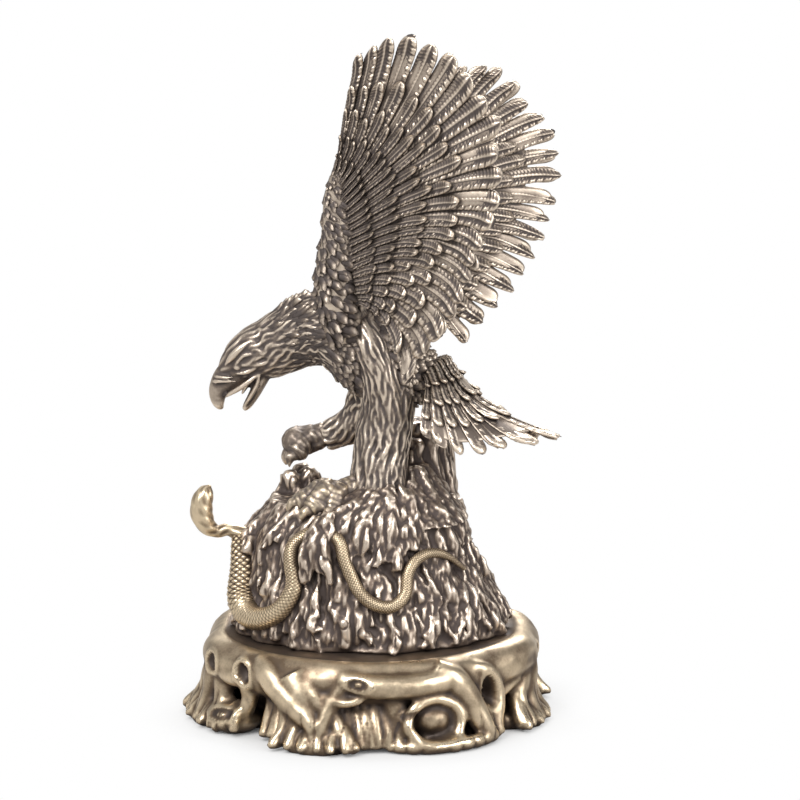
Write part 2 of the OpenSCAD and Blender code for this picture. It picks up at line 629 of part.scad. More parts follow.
// ---------------------------------------------------------------- feet
// One toe: an arch from the palm with two swollen knuckles, and a claw that hooks down
module toe(at, q, long, arch, size) {
    translate(at) rotate(q) {
        limb([[-0.3, 0, 0], [0.3 * long, 0, arch], [0.62 * long, 0, 0.8 * arch], [0.9 * long, 0, 0.1], [long, 0, -1.1]],
             size * [[1.2, 1], [1, 1], [0.85, 0.85], [0.55, 0.6], [0.1, 0.1]], 6, 5);
        for (k = [0:1]) hull() for (w = [-1, 1])
            translate([long * (0.36 + 0.33 * k), (0.15 * w + 0.04) * size, arch * (0.9 - 0.4 * k)])
                rotate(7) sphere(size * (1.2 - 0.25 * k), $fn = 5);
    }
}

module left_foot() {
    color(bright_bronze) up_from_perch() difference() {
        union() {
            for (k = [-1:1]) toe([-2.9, -4.3 - 0.2 * k, 1.3], 178 + 24 * k, 4.9 + 0.23 * k, 1 - 0.07 * k, 0.75);
            toe([-2.9, -4.6, 1.3], 246, 3.1, 0.57, 0.7);
            hull() {
                translate([-3.05, -4.32, 1.07]) sphere(1.35, $fn = 9);
                translate([-1.6, -4.05, 2.2]) sphere(1.5, $fn = 9);
            }
        }
        translate([0, 0, -0.4]) leg_core(seat_gap);
        translate([-20, -20, -6]) cube([40, 40, 6]);
    }
}

module right_foot() {
    color(bright_bronze) up_from_perch() difference() {
        union() {
            limb([shin_at - shin_axis, shin_at, [-4.4, 2.9, 5.1], [-6, 3.2, 4.5]], [[1.3, 1.3], [1.25, 1.25], [1, 1], [1.2, 1.2]],
                 12, 8);
            for (k = [-1:1]) toe([-6, perch_at[1] - 0.2 * k, perch_h + 1.7], 180 + 34 * k, 2.7 + 0.11 * k, 0.6, 0.7);
            toe([-5.6, perch_at[1] - 0.6, perch_h + 1.5], 262, 2.2, 0.3, 0.65);
            hull() {
                translate([-5.8, perch_at[1], perch_h + 0.8]) sphere(1.3, $fn = 10);
                translate([-6.4, perch_at[1], perch_h + 1.6]) sphere(1.3, $fn = 10);
            }
        }
        beyond(shin_at, -shin_axis, 4, 5);
        translate([-20, -20, perch_h - 6]) cube([40, 40, 6]);
    }
}

stand();
crag_rock();  // crag
snake();
eagle_body();
left_wing();
right_wing();
tail();
left_foot();
right_foot();
body_stud();
wing_dowels();
tail_dowel();
locating_pin();
stand_screw();
screw_washer();
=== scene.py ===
"""Bronze statuette: an eagle with raised wings strikes at a snake on a crag, over a root-wood stand.

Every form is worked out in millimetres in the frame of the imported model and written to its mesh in
metres. The castings are modelled as a founder's wax would be: feathers, scales and shards are laid on
their carriers one by one, and carriers that run into each other are blended.
"""

from __future__ import annotations

import logging
import math
from dataclasses import dataclass, replace
from enum import Enum
from typing import Any, Callable, Sequence

import bpy
import numpy as np
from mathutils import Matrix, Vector

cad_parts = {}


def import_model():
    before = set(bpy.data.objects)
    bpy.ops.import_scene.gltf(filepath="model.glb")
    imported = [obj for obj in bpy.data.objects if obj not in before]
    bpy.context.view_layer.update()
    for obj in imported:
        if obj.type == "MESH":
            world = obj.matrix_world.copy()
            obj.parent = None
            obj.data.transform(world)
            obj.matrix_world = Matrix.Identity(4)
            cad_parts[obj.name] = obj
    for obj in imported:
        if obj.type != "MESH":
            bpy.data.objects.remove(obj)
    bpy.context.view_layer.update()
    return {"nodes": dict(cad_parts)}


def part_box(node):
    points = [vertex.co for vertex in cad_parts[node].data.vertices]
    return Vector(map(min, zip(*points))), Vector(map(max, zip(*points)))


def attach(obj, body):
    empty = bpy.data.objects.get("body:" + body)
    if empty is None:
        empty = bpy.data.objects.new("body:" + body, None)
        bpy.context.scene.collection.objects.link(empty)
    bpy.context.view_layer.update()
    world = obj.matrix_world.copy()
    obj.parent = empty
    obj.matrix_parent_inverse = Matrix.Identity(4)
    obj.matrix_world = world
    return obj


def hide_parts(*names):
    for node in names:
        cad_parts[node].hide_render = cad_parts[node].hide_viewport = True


LOG = logging.getLogger("statuette")
Array = np.ndarray
MM = 0.001
Z_UP = np.array([0.0, 0.0, 1.0])
GOLDEN = 0.618034  # share of a turn that spreads forms evenly round a carrier
FACE_RADIUS = 15.3  # mean radius of the stand's face, in millimetres


# ---------------------------------------------------------------- curves and fields


def unit(v: Array) -> Array:
    """Vectors scaled to length one along their last axis."""
    return v / np.maximum(np.linalg.norm(v, axis=-1, keepdims=True), 1e-9)


def lerp(a: Any, b: Any, t: Any) -> Any:
    """The value a share t of the way from a to b."""
    return a + (b - a) * t


def step(t: Array, low: float, high: float) -> Array:
    """A smooth rise from 0 at low to 1 at high."""
    c = np.clip((t - low) / (high - low), 0.0, 1.0)
    return c * c * (3 - 2 * c)


def bump(t: Array, middle: float, half: float) -> Array:
    """A bell of height one round middle."""
    return np.exp(-(((t - middle) / half) ** 2))


def spline(knots: Sequence, t: Array) -> Array:
    """Catmull-Rom curve through evenly spaced knots.

    Args:
        knots: Points or numbers, in order.
        t: Where to read the curve, 0 to 1, in any shape.

    Returns:
        One point for each t, with the knots' own size as last axis (none for plain numbers).
    """
    rows = np.asarray(knots, float)
    flat = rows.ndim == 1
    if flat:
        rows = rows[:, None]
    n = len(rows) - 1
    s = np.clip(np.asarray(t, float), 0, 1) * n
    i = np.minimum(np.floor(s).astype(int), n - 1)
    f = (s - i)[..., None]
    a, b, c, d = rows[np.maximum(i - 1, 0)], rows[i], rows[i + 1], rows[np.minimum(i + 2, n)]
    out = 0.5 * (2 * b + (c - a) * f + (2 * a - 5 * b + 4 * c - d) * f**2 + (3 * b - a - 3 * c + d) * f**3)
    return out[..., 0] if flat else out


def value_noise(p: Array, seed: int) -> Array:
    """Smooth random field from -1 to 1 with features about one unit across.

    Args:
        p: Points, any shape with three numbers last.
        seed: Which field.

    Returns:
        One number a point.
    """
    cell = np.floor(p).astype(np.int64)
    f = p - cell
    w = f * f * (3 - 2 * f)
    total = np.zeros(p.shape[:-1])
    for corner in range(8):
        d = np.array([corner & 1, (corner >> 1) & 1, corner >> 2])
        q = cell + d
        h = (q[..., 0] * 73856093) ^ (q[..., 1] * 19349663) ^ (q[..., 2] * 83492791) ^ (seed * 7919 + 12345)
        h = ((h ^ (h >> 13)) * 1274126177) & 0x7FFFFFFF
        h = (h ^ (h >> 15)) & 0xFFFF
        weight = np.prod(np.where(d == 1, w, 1 - w), axis=-1)
        total += weight * (h / 32767.5 - 1)
    return total


def cloud(p: Array, size: float, octaves: int, seed: int) -> Array:
    """Layered value noise.

    Args:
        p: Points, any shape with three numbers last, in millimetres.
        size: Width of the largest features, in millimetres.
        octaves: Layers, each half as wide and half as strong as the one before.
        seed: Which field.

    Returns:
        One number a point.
    """
    out, share = np.zeros(p.shape[:-1]), 1.0
    for k in range(octaves):
        out += share * value_noise(p / size * 2**k + 17.3 * k, seed + k)
        share *= 0.5
    return out


# ---------------------------------------------------------------- meshes


class Draft:
    """A mesh being laid up from grids, in millimetres."""

    def __init__(self) -> None:
        """Starts empty."""
        self.points: list[Array] = []
        self.quads: list[Array] = []
        self.tris: list[Array] = []
        self.size = 0

    def _close(self, points: Array, quads: Array, tris: Array) -> None:
        """Adds a closed part, its faces turned outward.

        Args:
            points: Its vertices.
            quads: Its faces of four.
            tris: Its faces of three.
        """
        p = points - points.mean(0)
        fans = np.concatenate([quads[:, :3], quads[:, [0, 2, 3]], tris])
        volume = (p[fans[:, 0]] * np.cross(p[fans[:, 1]], p[fans[:, 2]])).sum()
        if volume < 0:
            quads, tris = quads[:, ::-1], tris[:, ::-1]
        self.points.append(points)
        self.quads.append(quads + self.size)
        self.tris.append(tris + self.size)
        self.size += len(points)

    def take(self, other: "Draft", move: Array) -> None:
        """Adds another draft's parts, moved.

        Args:
            other: The draft to take from.
            move: How far it is moved.
        """
        self.points += [points + move for points in other.points]
        self.quads += [quads + self.size for quads in other.quads]
        self.tris += [tris + self.size for tris in other.tris]
        self.size += other.size

    def tube(self, rings: Array) -> None:
        """Adds a closed skin over rings of points.

        Args:
            rings: Shape (rings, points, 3).
        """
        m, n = rings.shape[:2]
        points = np.concatenate([rings.reshape(-1, 3), [rings[0].mean(0), rings[-1].mean(0)]])
        i = np.arange(m - 1)[:, None] * n
        j = np.arange(n)[None, :]
        k = (j + 1) % n
        quads = np.stack([i + j, i + k, i + n + k, i + n + j], -1).reshape(-1, 4)
        j, k, last = j[0], k[0], (m - 1) * n
        low = np.stack([k, j, np.full(n, m * n)], -1)
        high = np.stack([last + j, last + k, np.full(n, m * n + 1)], -1)
        self._close(points, quads, np.concatenate([low, high]))

    def shell(self, front: Array, back: Array) -> None:
        """Adds a thin closed plate between two grids of the same shape whose edges meet.

        Args:
            front: Shape (across, along, 3).
            back: The same shape, behind the front.
        """
        m, n = front.shape[:2]
        loop = np.concatenate([front, back[:, ::-1]], axis=1)
        w = 2 * n
        i = np.arange(m - 1)[:, None] * w
        j = np.arange(w)[None, :]
        k = (j + 1) % w
        quads = np.stack([i + j, i + k, i + w + k, i + w + j], -1).reshape(-1, 4)
        j = np.arange(n - 1)
        cap = np.stack([j, j + 1, w - 2 - j, w - 1 - j], -1)
        quads = np.concatenate([quads, cap[:, ::-1], (m - 1) * w + cap])
        self._close(loop.reshape(-1, 3), quads, np.zeros((0, 3), int))

    def mesh(self, name: str) -> bpy.types.Object:
        """Writes the draft to a new smooth-shaded mesh object.

        Args:
            name: The object's name.

        Returns:
            The object, linked to the scene.
        """
        points = np.concatenate(self.points) * MM
        quads, tris = np.concatenate(self.quads), np.concatenate(self.tris)
        loops = np.concatenate([quads.ravel(), tris.ravel()])
        starts = np.concatenate([np.arange(len(quads)) * 4, len(quads) * 4 + np.arange(len(tris)) * 3])
        data = bpy.data.meshes.new(name)
        data.vertices.add(len(points))
        data.vertices.foreach_set("co", points.ravel())
        data.loops.add(len(loops))
        data.loops.foreach_set("vertex_index", loops.astype(np.int32))
        data.polygons.add(len(starts))
        data.polygons.foreach_set("loop_start", starts.astype(np.int32))
        data.update(calc_edges=True)
        data.validate()
        data.shade_smooth()
        return link(name, data)


def link(name: str, data: bpy.types.Mesh) -> bpy.types.Object:
    """A new object for a mesh, linked to the scene."""
    piece = bpy.data.objects.new(name, data)
    bpy.context.scene.collection.objects.link(piece)
    return piece


def read_points(data: bpy.types.Mesh) -> Array:
    """A mesh's vertices, in millimetres."""
    co = np.empty(len(data.vertices) * 3, np.float32)
    data.vertices.foreach_get("co", co)
    return co.reshape(-1, 3).astype(float) / MM


def write_points(data: bpy.types.Mesh, points: Array) -> None:
    """Moves a mesh's vertices, given in millimetres."""
    data.vertices.foreach_set("co", (points * MM).astype(np.float32).ravel())
    data.update()


def read_normals(data: bpy.types.Mesh) -> Array:
    """A mesh's vertex normals."""
    out = np.empty(len(data.vertices) * 3, np.float32)
    data.vertices.foreach_get("normal", out)
    return out.reshape(-1, 3).astype(float)


def relax(points: Array, edges: Array, rounds: int, share: float = 0.6) -> Array:
    """Points drawn towards the mean of their neighbours.

    Args:
        points: The points.
        edges: Pairs of neighbours.
        rounds: How often they are drawn.
        share: How far each round goes.

    Returns:
        The points in their new places.
    """
    a, b = edges[:, 0], edges[:, 1]
    n = len(points)
    degree = np.maximum(np.bincount(a, minlength=n) + np.bincount(b, minlength=n), 1)[:, None]
    for _ in range(rounds):
        sums = [np.bincount(a, points[b, k], n) + np.bincount(b, points[a, k], n) for k in range(3)]
        total = np.stack(sums, -1)
        points = lerp(points, total / degree, share)
    return points


def read_edges(data: bpy.types.Mesh) -> Array:
    """A mesh's edges as pairs of vertex numbers."""
    out = np.empty(len(data.edges) * 2, np.int32)
    data.edges.foreach_get("vertices", out)
    return out.reshape(-1, 2)


def evaluated(piece: bpy.types.Object, name: str) -> bpy.types.Object:
    """A plain copy of a piece with its modifiers applied; the original is removed.

    Args:
        piece: The piece with modifiers.
        name: The copy's name.

    Returns:
        The copy.
    """
    graph = bpy.context.evaluated_depsgraph_get()
    data = bpy.data.meshes.new_from_object(piece.evaluated_get(graph), depsgraph=graph)
    data.name = name
    bpy.data.objects.remove(piece)
    return link(name, data)


def blended(draft: Draft, name: str, voxel: float, rounds: int) -> bpy.types.Object:
    """A draft's overlapping forms fused into one skin, as wax runs together.

    Args:
        draft: The forms.
        name: The new object's name.
        voxel: Size of the grid, in millimetres.
        rounds: How often the skin is relaxed.

    Returns:
        The fused piece.
    """
    piece = draft.mesh(name + "_wax")
    fuse = piece.modifiers.new("fuse", "REMESH")
    fuse.mode = "VOXEL"
    fuse.voxel_size = voxel * MM
    fuse.use_smooth_shade = True
    piece = evaluated(piece, name)
    write_points(piece.data, relax(read_points(piece.data), read_edges(piece.data), rounds, 0.5))
    piece.data.shade_smooth()
    return piece


def mark_hollows(piece: bpy.types.Object, scale: float = 0.12) -> None:
    """Stores how far each vertex lies in a hollow (positive) or on a crest (negative), for the patina.

    Args:
        piece: The piece to mark.
        scale: Depth, in millimetres, that counts as fully hollow.
    """
    data = piece.data
    points, edges, normals = read_points(data), read_edges(data), read_normals(data)
    near = relax(points, edges, 3)
    far = relax(near, edges, 10)
    depth = ((near - points) * normals).sum(-1) + 0.6 * ((far - points) * normals).sum(-1)
    layer = data.attributes.new("hollow", "FLOAT", "POINT")
    layer.data.foreach_set("value", np.clip(depth / scale, -1, 1).astype(np.float32))


def frames(knots: Sequence, t: Array, lift: Array = Z_UP) -> tuple[Array, Array, Array, Array]:
    """A curve's points with directions across, upright and along it.

    Args:
        knots: The curve's knots.
        t: Where to read it.
        lift: Roughly upright.

    Returns:
        Points, across, upright and along.
    """
    d = 0.01
    along = unit(spline(knots, t + d) - spline(knots, t - d))
    across = unit(np.cross(lift, along))
    return spline(knots, t), across, np.cross(along, across), along


def limb(
    knots: Sequence,
    radii: Sequence,
    sides: int,
    steps: int,
    lift: Sequence[float] = (0, 0, 1),
    relief: Callable[[Array, Array], Array] | None = None,
) -> Array:
    """Rings of a limb that follows a curve.

    Args:
        knots: The curve's knots.
        radii: Half widths [across, upright] along it.
        sides: Points in a ring.
        steps: Rings, less one.
        lift: Roughly upright.
        relief: Height over the skin from (share along, turn in radians).

    Returns:
        Shape (steps + 1, sides, 3).
    """
    t = np.linspace(0, 1, steps + 1)
    c, a, b, _ = frames(knots, t, np.asarray(lift, float))
    r = spline(radii, t)
    q = np.linspace(0, 2 * np.pi, sides, endpoint=False)
    h = np.zeros((steps + 1, sides)) if relief is None else relief(t[:, None], q[None, :])
    across = ((r[:, :1] + h) * np.cos(q))[..., None] * a[:, None, :]
    return c[:, None, :] + across + ((r[:, 1:] + h) * np.sin(q))[..., None] * b[:, None, :]


def ball(centre: Sequence[float], radii: Sequence[float], sides: int = 24) -> Array:
    """Rings of an upright ellipsoid.

    Args:
        centre: Its middle.
        radii: Its half sizes.
        sides: Points in a ring.

    Returns:
        Shape (sides // 2 + 1, sides, 3).
    """
    f = (np.linspace(0.04, 0.96, sides // 2 + 1) * np.pi)[:, None]
    q = np.linspace(0, 2 * np.pi, sides, endpoint=False)
    shape = np.stack([np.sin(f) * np.cos(q), np.sin(f) * np.sin(q), -np.cos(f) + 0 * q], -1)
    return np.asarray(centre) + shape * np.asarray(radii)


def heading(q: float, rise: float = 0.0) -> Array:
    """The way of a direction in degrees, with a rise."""
    return np.array([math.cos(math.radians(q)), math.sin(math.radians(q)), rise])


# ---------------------------------------------------------------- node trees


class Socket:
    """An output socket whose arithmetic adds Math nodes."""

    def __init__(self, tree: "NodeTree", socket: bpy.types.NodeSocket) -> None:
        """Wraps one output socket of a tree."""
        self.tree = tree
        self.socket = socket

    def _math(self, operation: str, *values: Any) -> "Socket":
        """A Math node on this socket's tree."""
        return self.tree.add("ShaderNodeMath", {"operation": operation}, dict(enumerate(values)))

    def __add__(self, other: Any) -> "Socket":
        """self + other."""
        return self._math("ADD", self, other)

    __radd__ = __add__

    def __mul__(self, other: Any) -> "Socket":
        """self * other."""
        return self._math("MULTIPLY", self, other)

    __rmul__ = __mul__

    def __sub__(self, other: Any) -> "Socket":
        """self - other."""
        return self._math("SUBTRACT", self, other)

    def __rsub__(self, other: Any) -> "Socket":
        """other - self."""
        return self._math("SUBTRACT", other, self)

    def __pow__(self, other: Any) -> "Socket":
        """self to the power other."""
        return self._math("POWER", self, other)

    def clamped(self) -> "Socket":
        """Held between 0 and 1."""
        return self.tree.add("ShaderNodeClamp", {}, {"Value": self})


class NodeTree:
    """Builds a shader or Geometry Nodes tree."""

    def __init__(self, tree: bpy.types.NodeTree) -> None:
        """Wraps a tree and empties it."""
        self.tree = tree
        tree.nodes.clear()

    def add(
        self, kind: str, settings: dict | None = None, inputs: dict | None = None, output: Any = 0
    ) -> Socket:
        """Adds a node.

        Args:
            kind: The node's type.
            settings: Its properties; "stops" fills a colour ramp with (place, colour) pairs.
            inputs: Values or sockets, by the input's name or number.
            output: Name or number of the output to hand back.

        Returns:
            That output.
        """
        node = self.tree.nodes.new(kind)
        for key, value in (settings or {}).items():
            if key == "stops":
                self._fill(node.color_ramp, value)
            else:
                setattr(node, key, value)
        for key, value in (inputs or {}).items():
            if isinstance(value, Socket):
                self.tree.links.new(value.socket, node.inputs[key])
            else:
                node.inputs[key].default_value = value
        outputs = node.outputs
        return Socket(self, outputs[output]) if len(outputs) else Socket(self, node.inputs[0])

    def noise(self, place: Socket, size: float, detail: float) -> Socket:
        """Adds noise.

        Args:
            place: Where it is read.
            size: Width of its largest features, in millimetres.
            detail: Its octaves.

        Returns:
            Its value.
        """
        inputs = {"Vector": place, "Scale": 1 / (size * MM), "Detail": detail}
        return self.add("ShaderNodeTexNoise", {}, inputs)

    @staticmethod
    def _fill(ramp: bpy.types.ColorRamp, stops: Sequence) -> None:
        """Sets a ramp's stops.

        Args:
            ramp: The colour ramp.
            stops: (place, colour) pairs, from left to right.
        """
        while len(ramp.elements) > 1:
            ramp.elements.remove(ramp.elements[-1])
        for k, (place, colour) in enumerate(stops):
            element = ramp.elements[0] if k == 0 else ramp.elements.new(place)
            element.position = place
            element.color = (*colour, 1.0)


def linear(r: int, g: int, b: int) -> tuple[float, float, float]:
    """An eight-bit display colour as linear light."""
    return tuple((v / 255 / 12.92) if v <= 10 else ((v / 255 + 0.055) / 1.055) ** 2.4 for v in (r, g, b))


@dataclass(frozen=True)
class Bronze:
    """Cast bronze with a dark patina left in its hollows and rubbed off its crests, and painted shade where
    ambient occlusion finds it covered.
    """

    name: str
    # pit: the patina's colour in the hollows, also laid as painted shade where occlusion covers the surface
    pit: tuple[float, float, float] = linear(82, 74, 71)
    field: tuple[float, float, float] = linear(124, 112, 102)
    crest: tuple[float, float, float] = linear(235, 220, 202)
    wear: float = 0.3  # how far the polish reaches down from the crests
    reach: float = 0.7  # how far, in millimetres, the ambient occlusion looks for cover; covered places take the pit colour as painted shade
    rough: float = 0.36
    grain: float = 0.10  # size of the casting's grain, in millimetres
    grain_depth: float = 0.35

    def material(self) -> bpy.types.Material:
        """The finish as a material.

        Returns:
            A new material.
        """
        out = bpy.data.materials.new(self.name)
        out.use_nodes = True
        tree = NodeTree(out.node_tree)
        place = tree.add("ShaderNodeTexCoord", output="Object")
        hollow = tree.add("ShaderNodeAttribute", {"attribute_name": "hollow"}, output="Fac")
        # ambient occlusion: covered places lose their polish and darken to the pit colour, painted shade over
        # the patina
        cover = tree.add("ShaderNodeAmbientOcclusion", {"samples": 8}, {"Distance": self.reach * MM}, "AO")
        stain = tree.noise(place, 2.2, 4.0)
        speck = tree.noise(place, 0.22, 2.0)
        open_air = cover**1.6
        wear_and_shade = (open_air * (self.wear - 0.8 * hollow) + 0.3 * (stain - 0.5) + 0.2 * (speck - 0.5)).clamped()
        tint = tree.add(
            "ShaderNodeValToRGB",
            {"stops": [(0.0, self.pit), (0.4, self.field), (0.9, self.crest)]},
            {"Fac": wear_and_shade},
        )
        grain = tree.noise(place, self.grain, 3.0)
        dents = tree.noise(place, 0.6, 2.0)
        height = grain + 1.4 * dents
        skin = tree.add(
            "ShaderNodeBump",
            {},
            {"Height": height, "Strength": self.grain_depth, "Distance": 0.03 * MM},
            "Normal",
        )
        shader = tree.add(
            "ShaderNodeBsdfPrincipled",
            {},
            {
                "Base Color": tint,
                "Metallic": (0.55 + 0.6 * wear_and_shade).clamped(),
                "Roughness": (self.rough + 0.28 * (1 - wear_and_shade) + 0.2 * (speck - 0.5)).clamped(),
                "Normal": skin,
            },
        )
        tree.add("ShaderNodeOutputMaterial", {}, {"Surface": shader})
        return out


class Finish(Enum):
    """The statuette's finishes."""

    FEATHER = Bronze("patina_feather", wear=0.13)
    PLUMAGE = Bronze("patina_plumage", wear=0.26)
    CLAW = Bronze("patina_claw", wear=0.42, rough=0.3, crest=linear(232, 214, 186))
    CRAG = Bronze(
        "patina_crag", linear(74, 64, 60), linear(122, 107, 95), linear(220, 205, 189), wear=0.25, reach=0.9
    )
    SNAKE = Bronze(
        "patina_snake", linear(66, 55, 48), linear(114, 97, 78), linear(230, 211, 180), wear=0.42, rough=0.32
    )
    STAND = Bronze(
        "patina_stand", linear(64, 54, 48), linear(112, 95, 77), linear(231, 212, 182),
        wear=0.55, reach=1.4, rough=0.28, grain_depth=0.22,
    )  # fmt: skip

    def dress(self, piece: bpy.types.Object) -> None:
        """Gives a piece this finish and nothing else.

        Args:
            piece: The piece.
        """
        name = self.value.name
        found = bpy.data.materials.get(name) or self.value.material()
        piece.data.materials.clear()
        piece.data.materials.append(found)


def mount(piece: bpy.types.Object, finish: Finish, slot: str, *nodes: str) -> None:
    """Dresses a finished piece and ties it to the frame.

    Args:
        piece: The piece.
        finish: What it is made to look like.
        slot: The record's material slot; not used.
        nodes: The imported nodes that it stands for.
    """
    finish.dress(piece)
    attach(piece, "root")
    if nodes:
        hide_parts(*nodes)
    LOG.info("%s: %d faces", piece.name, len(piece.data.polygons))


@dataclass
class Coat:
    """Small forms laid over a carrier, each on a point with a way to lie, by Geometry Nodes."""

    name: str
    points: Array
    out: Array  # away from the carrier
    lie: Array  # from a form's root to its tip
    size: Array  # across, along and high, in millimetres

    def lay(self, form: bpy.types.Object, material: Finish, seed: int = 3) -> bpy.types.Object:
        """Lays a copy of the form on every point.

        Args:
            form: The form, one millimetre long, its root at its origin, tip along +Y and top along +Z.
            material: The finish of the copies.
            seed: Fixes the small random turns.

        Returns:
            One plain mesh of all the copies.
        """
        data = bpy.data.meshes.new(self.name + "_points")
        data.vertices.add(len(self.points))
        data.vertices.foreach_set("co", (self.points * MM).ravel())
        for key, values in (("out", self.out), ("lie", self.lie), ("size", self.size)):
            layer = data.attributes.new(key, "FLOAT_VECTOR", "POINT")
            layer.data.foreach_set("vector", values.astype(np.float32).ravel())
        carrier = link(self.name + "_points", data)
        material.dress(form)
        group = self._tree(form, form.data.materials[0])
        modifier = carrier.modifiers.new("coat", "NODES")
        modifier.node_group = group
        for item in group.interface.items_tree:
            if item.in_out == "INPUT" and item.name == "Seed":
                modifier[item.identifier] = seed
        piece = evaluated(carrier, self.name)
        bpy.data.objects.remove(form)
        piece.data.shade_smooth()
        return piece

    def _tree(self, form: bpy.types.Object, material: bpy.types.Material) -> bpy.types.NodeTree:
        """The Geometry Nodes tree: instance, turn, scale, realize, dress.

        Args:
            form: The form that is copied.
            material: The copies' material.

        Returns:
            The tree.
        """
        group = bpy.data.node_groups.new(self.name + "_coat", "GeometryNodeTree")
        group.interface.new_socket("Geometry", in_out="INPUT", socket_type="NodeSocketGeometry")
        group.interface.new_socket("Seed", in_out="INPUT", socket_type="NodeSocketInt")
        group.interface.new_socket("Geometry", in_out="OUTPUT", socket_type="NodeSocketGeometry")
        tree = NodeTree(group)
        entry = group.nodes.new("NodeGroupInput")
        kind = {"data_type": "FLOAT_VECTOR"}
        vectors = {
            key: tree.add("GeometryNodeInputNamedAttribute", kind, {"Name": key}, "Attribute")
            for key in ("out", "lie", "size")
        }
        turn = tree.add(
            "FunctionNodeAxesToRotation",
            {"primary_axis": "Z", "secondary_axis": "Y"},
            {"Primary Axis": vectors["out"], "Secondary Axis": vectors["lie"]},
        )
        sway = tree.add(
            "FunctionNodeRandomValue",
            kind,
            {0: (-0.2, -0.22, -0.4), 1: (0.2, 0.22, 0.4), "Seed": Socket(tree, entry.outputs["Seed"])},
            "Value",
        )
        twist = tree.add("FunctionNodeEulerToRotation", {}, {"Euler": sway})
        swayed = tree.add("FunctionNodeRotateRotation", {"rotation_space": "LOCAL"}, {0: turn, 1: twist})
        source = tree.add("GeometryNodeObjectInfo", {}, {"Object": form}, "Geometry")
        copies = tree.add(
            "GeometryNodeInstanceOnPoints",
            {},
            {
                "Points": Socket(tree, entry.outputs["Geometry"]),
                "Instance": source,
                "Rotation": swayed,
                "Scale": vectors["size"],
            },
        )
        real = tree.add("GeometryNodeRealizeInstances", {}, {"Geometry": copies})
        dressed = tree.add("GeometryNodeSetMaterial", {}, {"Geometry": real, "Material": material})
        tree.add("NodeGroupOutput", {}, {0: dressed})
        return group


def leaf(name: str, across: int, along: int, point: float, crown: float, rib: float) -> bpy.types.Object:
    """A small feather or scale, one millimetre long, its root at the origin and its tip along +Y.

    Args:
        name: The object's name.
        across: Faces across it.
        along: Faces along it.
        point: How pointed its tip is, 0 round to 1 sharp.
        crown: Height of its middle over its edges.
        rib: Height of its shaft.

    Returns:
        The form.
    """
    u = np.linspace(-1, 1, across + 1)[:, None]
    s = np.linspace(0, 1, along + 1)[None, :]
    closing = (1 - np.clip((s - 0.45) / 0.55, 0, 1) ** (2.6 - 1.4 * point)) ** 0.6
    wide = 0.5 * np.minimum(0.62 + 1.1 * s, 1) * closing + 0.01
    x = u * wide
    shaft = rib * bump(u, 0, 0.2) * (1 - s**4)
    z = crown * (1 - u**2) * (0.35 + 0.75 * s) * (1 - 0.5 * step(s, 0.85, 1)) + shaft
    z = z + 0.15 * bump(s, 0.86, 0.12) * (1 - 0.4 * u**2)
    front = np.stack([x, s + 0 * u, z], -1)
    back = np.stack([x, s + 0 * u, -0.12 * np.ones_like(z)], -1)
    back[:, -1] = front[:, -1]
    draft = Draft()
    draft.shell(front, back)
    form = draft.mesh(name)
    co = read_points(form.data)
    # painted shade in the hollow mark: darkest at the root, which lies under the row before, lightest near
    # the tip's bead, darker down the middle
    shade = -0.9 + 2.6 * np.abs(co[:, 1] - 0.88) + 1.2 * np.clip(0.25 - np.abs(co[:, 0]), 0, 1)
    layer = form.data.attributes.new("hollow", "FLOAT", "POINT")
    layer.data.foreach_set("value", np.clip(shade, -1, 0.7).astype(np.float32))
    return form


# ---------------------------------------------------------------- feathers


@dataclass(frozen=True)
class Fan:
    """The curved sheet that a wing's or a tail's feathers follow, above the ledge."""

    roots: tuple
    bends: tuple
    tips: tuple
    perch: float

    def at(self, a: Array, v: Array) -> Array:
        """Points of the sheet.

        Args:
            a: Across the fan, 0 at the first feather to 1 at the last.
            v: Along a feather, 0 at its root to 1 at its tip.

        Returns:
            One point for each pair.
        """
        a, v = np.broadcast_arrays(a, v)
        w = v[..., None]
        sheet = spline(self.roots, a) * (1 - w) ** 2 + spline(self.bends, a) * 2 * w * (1 - w)
        return sheet + spline(self.tips, a) * w**2 + self.perch * Z_UP

    def normal(self, a: Array, v: Array) -> Array:
        """The sheet's own upright.

        Args:
            a: Across the fan.
            v: Along a feather.

        Returns:
            One unit vector for each pair.
        """
        d = 0.01
        da = self.at(a + d, v) - self.at(a - d, v)
        dv = self.at(a, np.clip(v + d, 0, 1)) - self.at(a, np.clip(v - d, 0, 1))
        return unit(np.cross(da, dv))


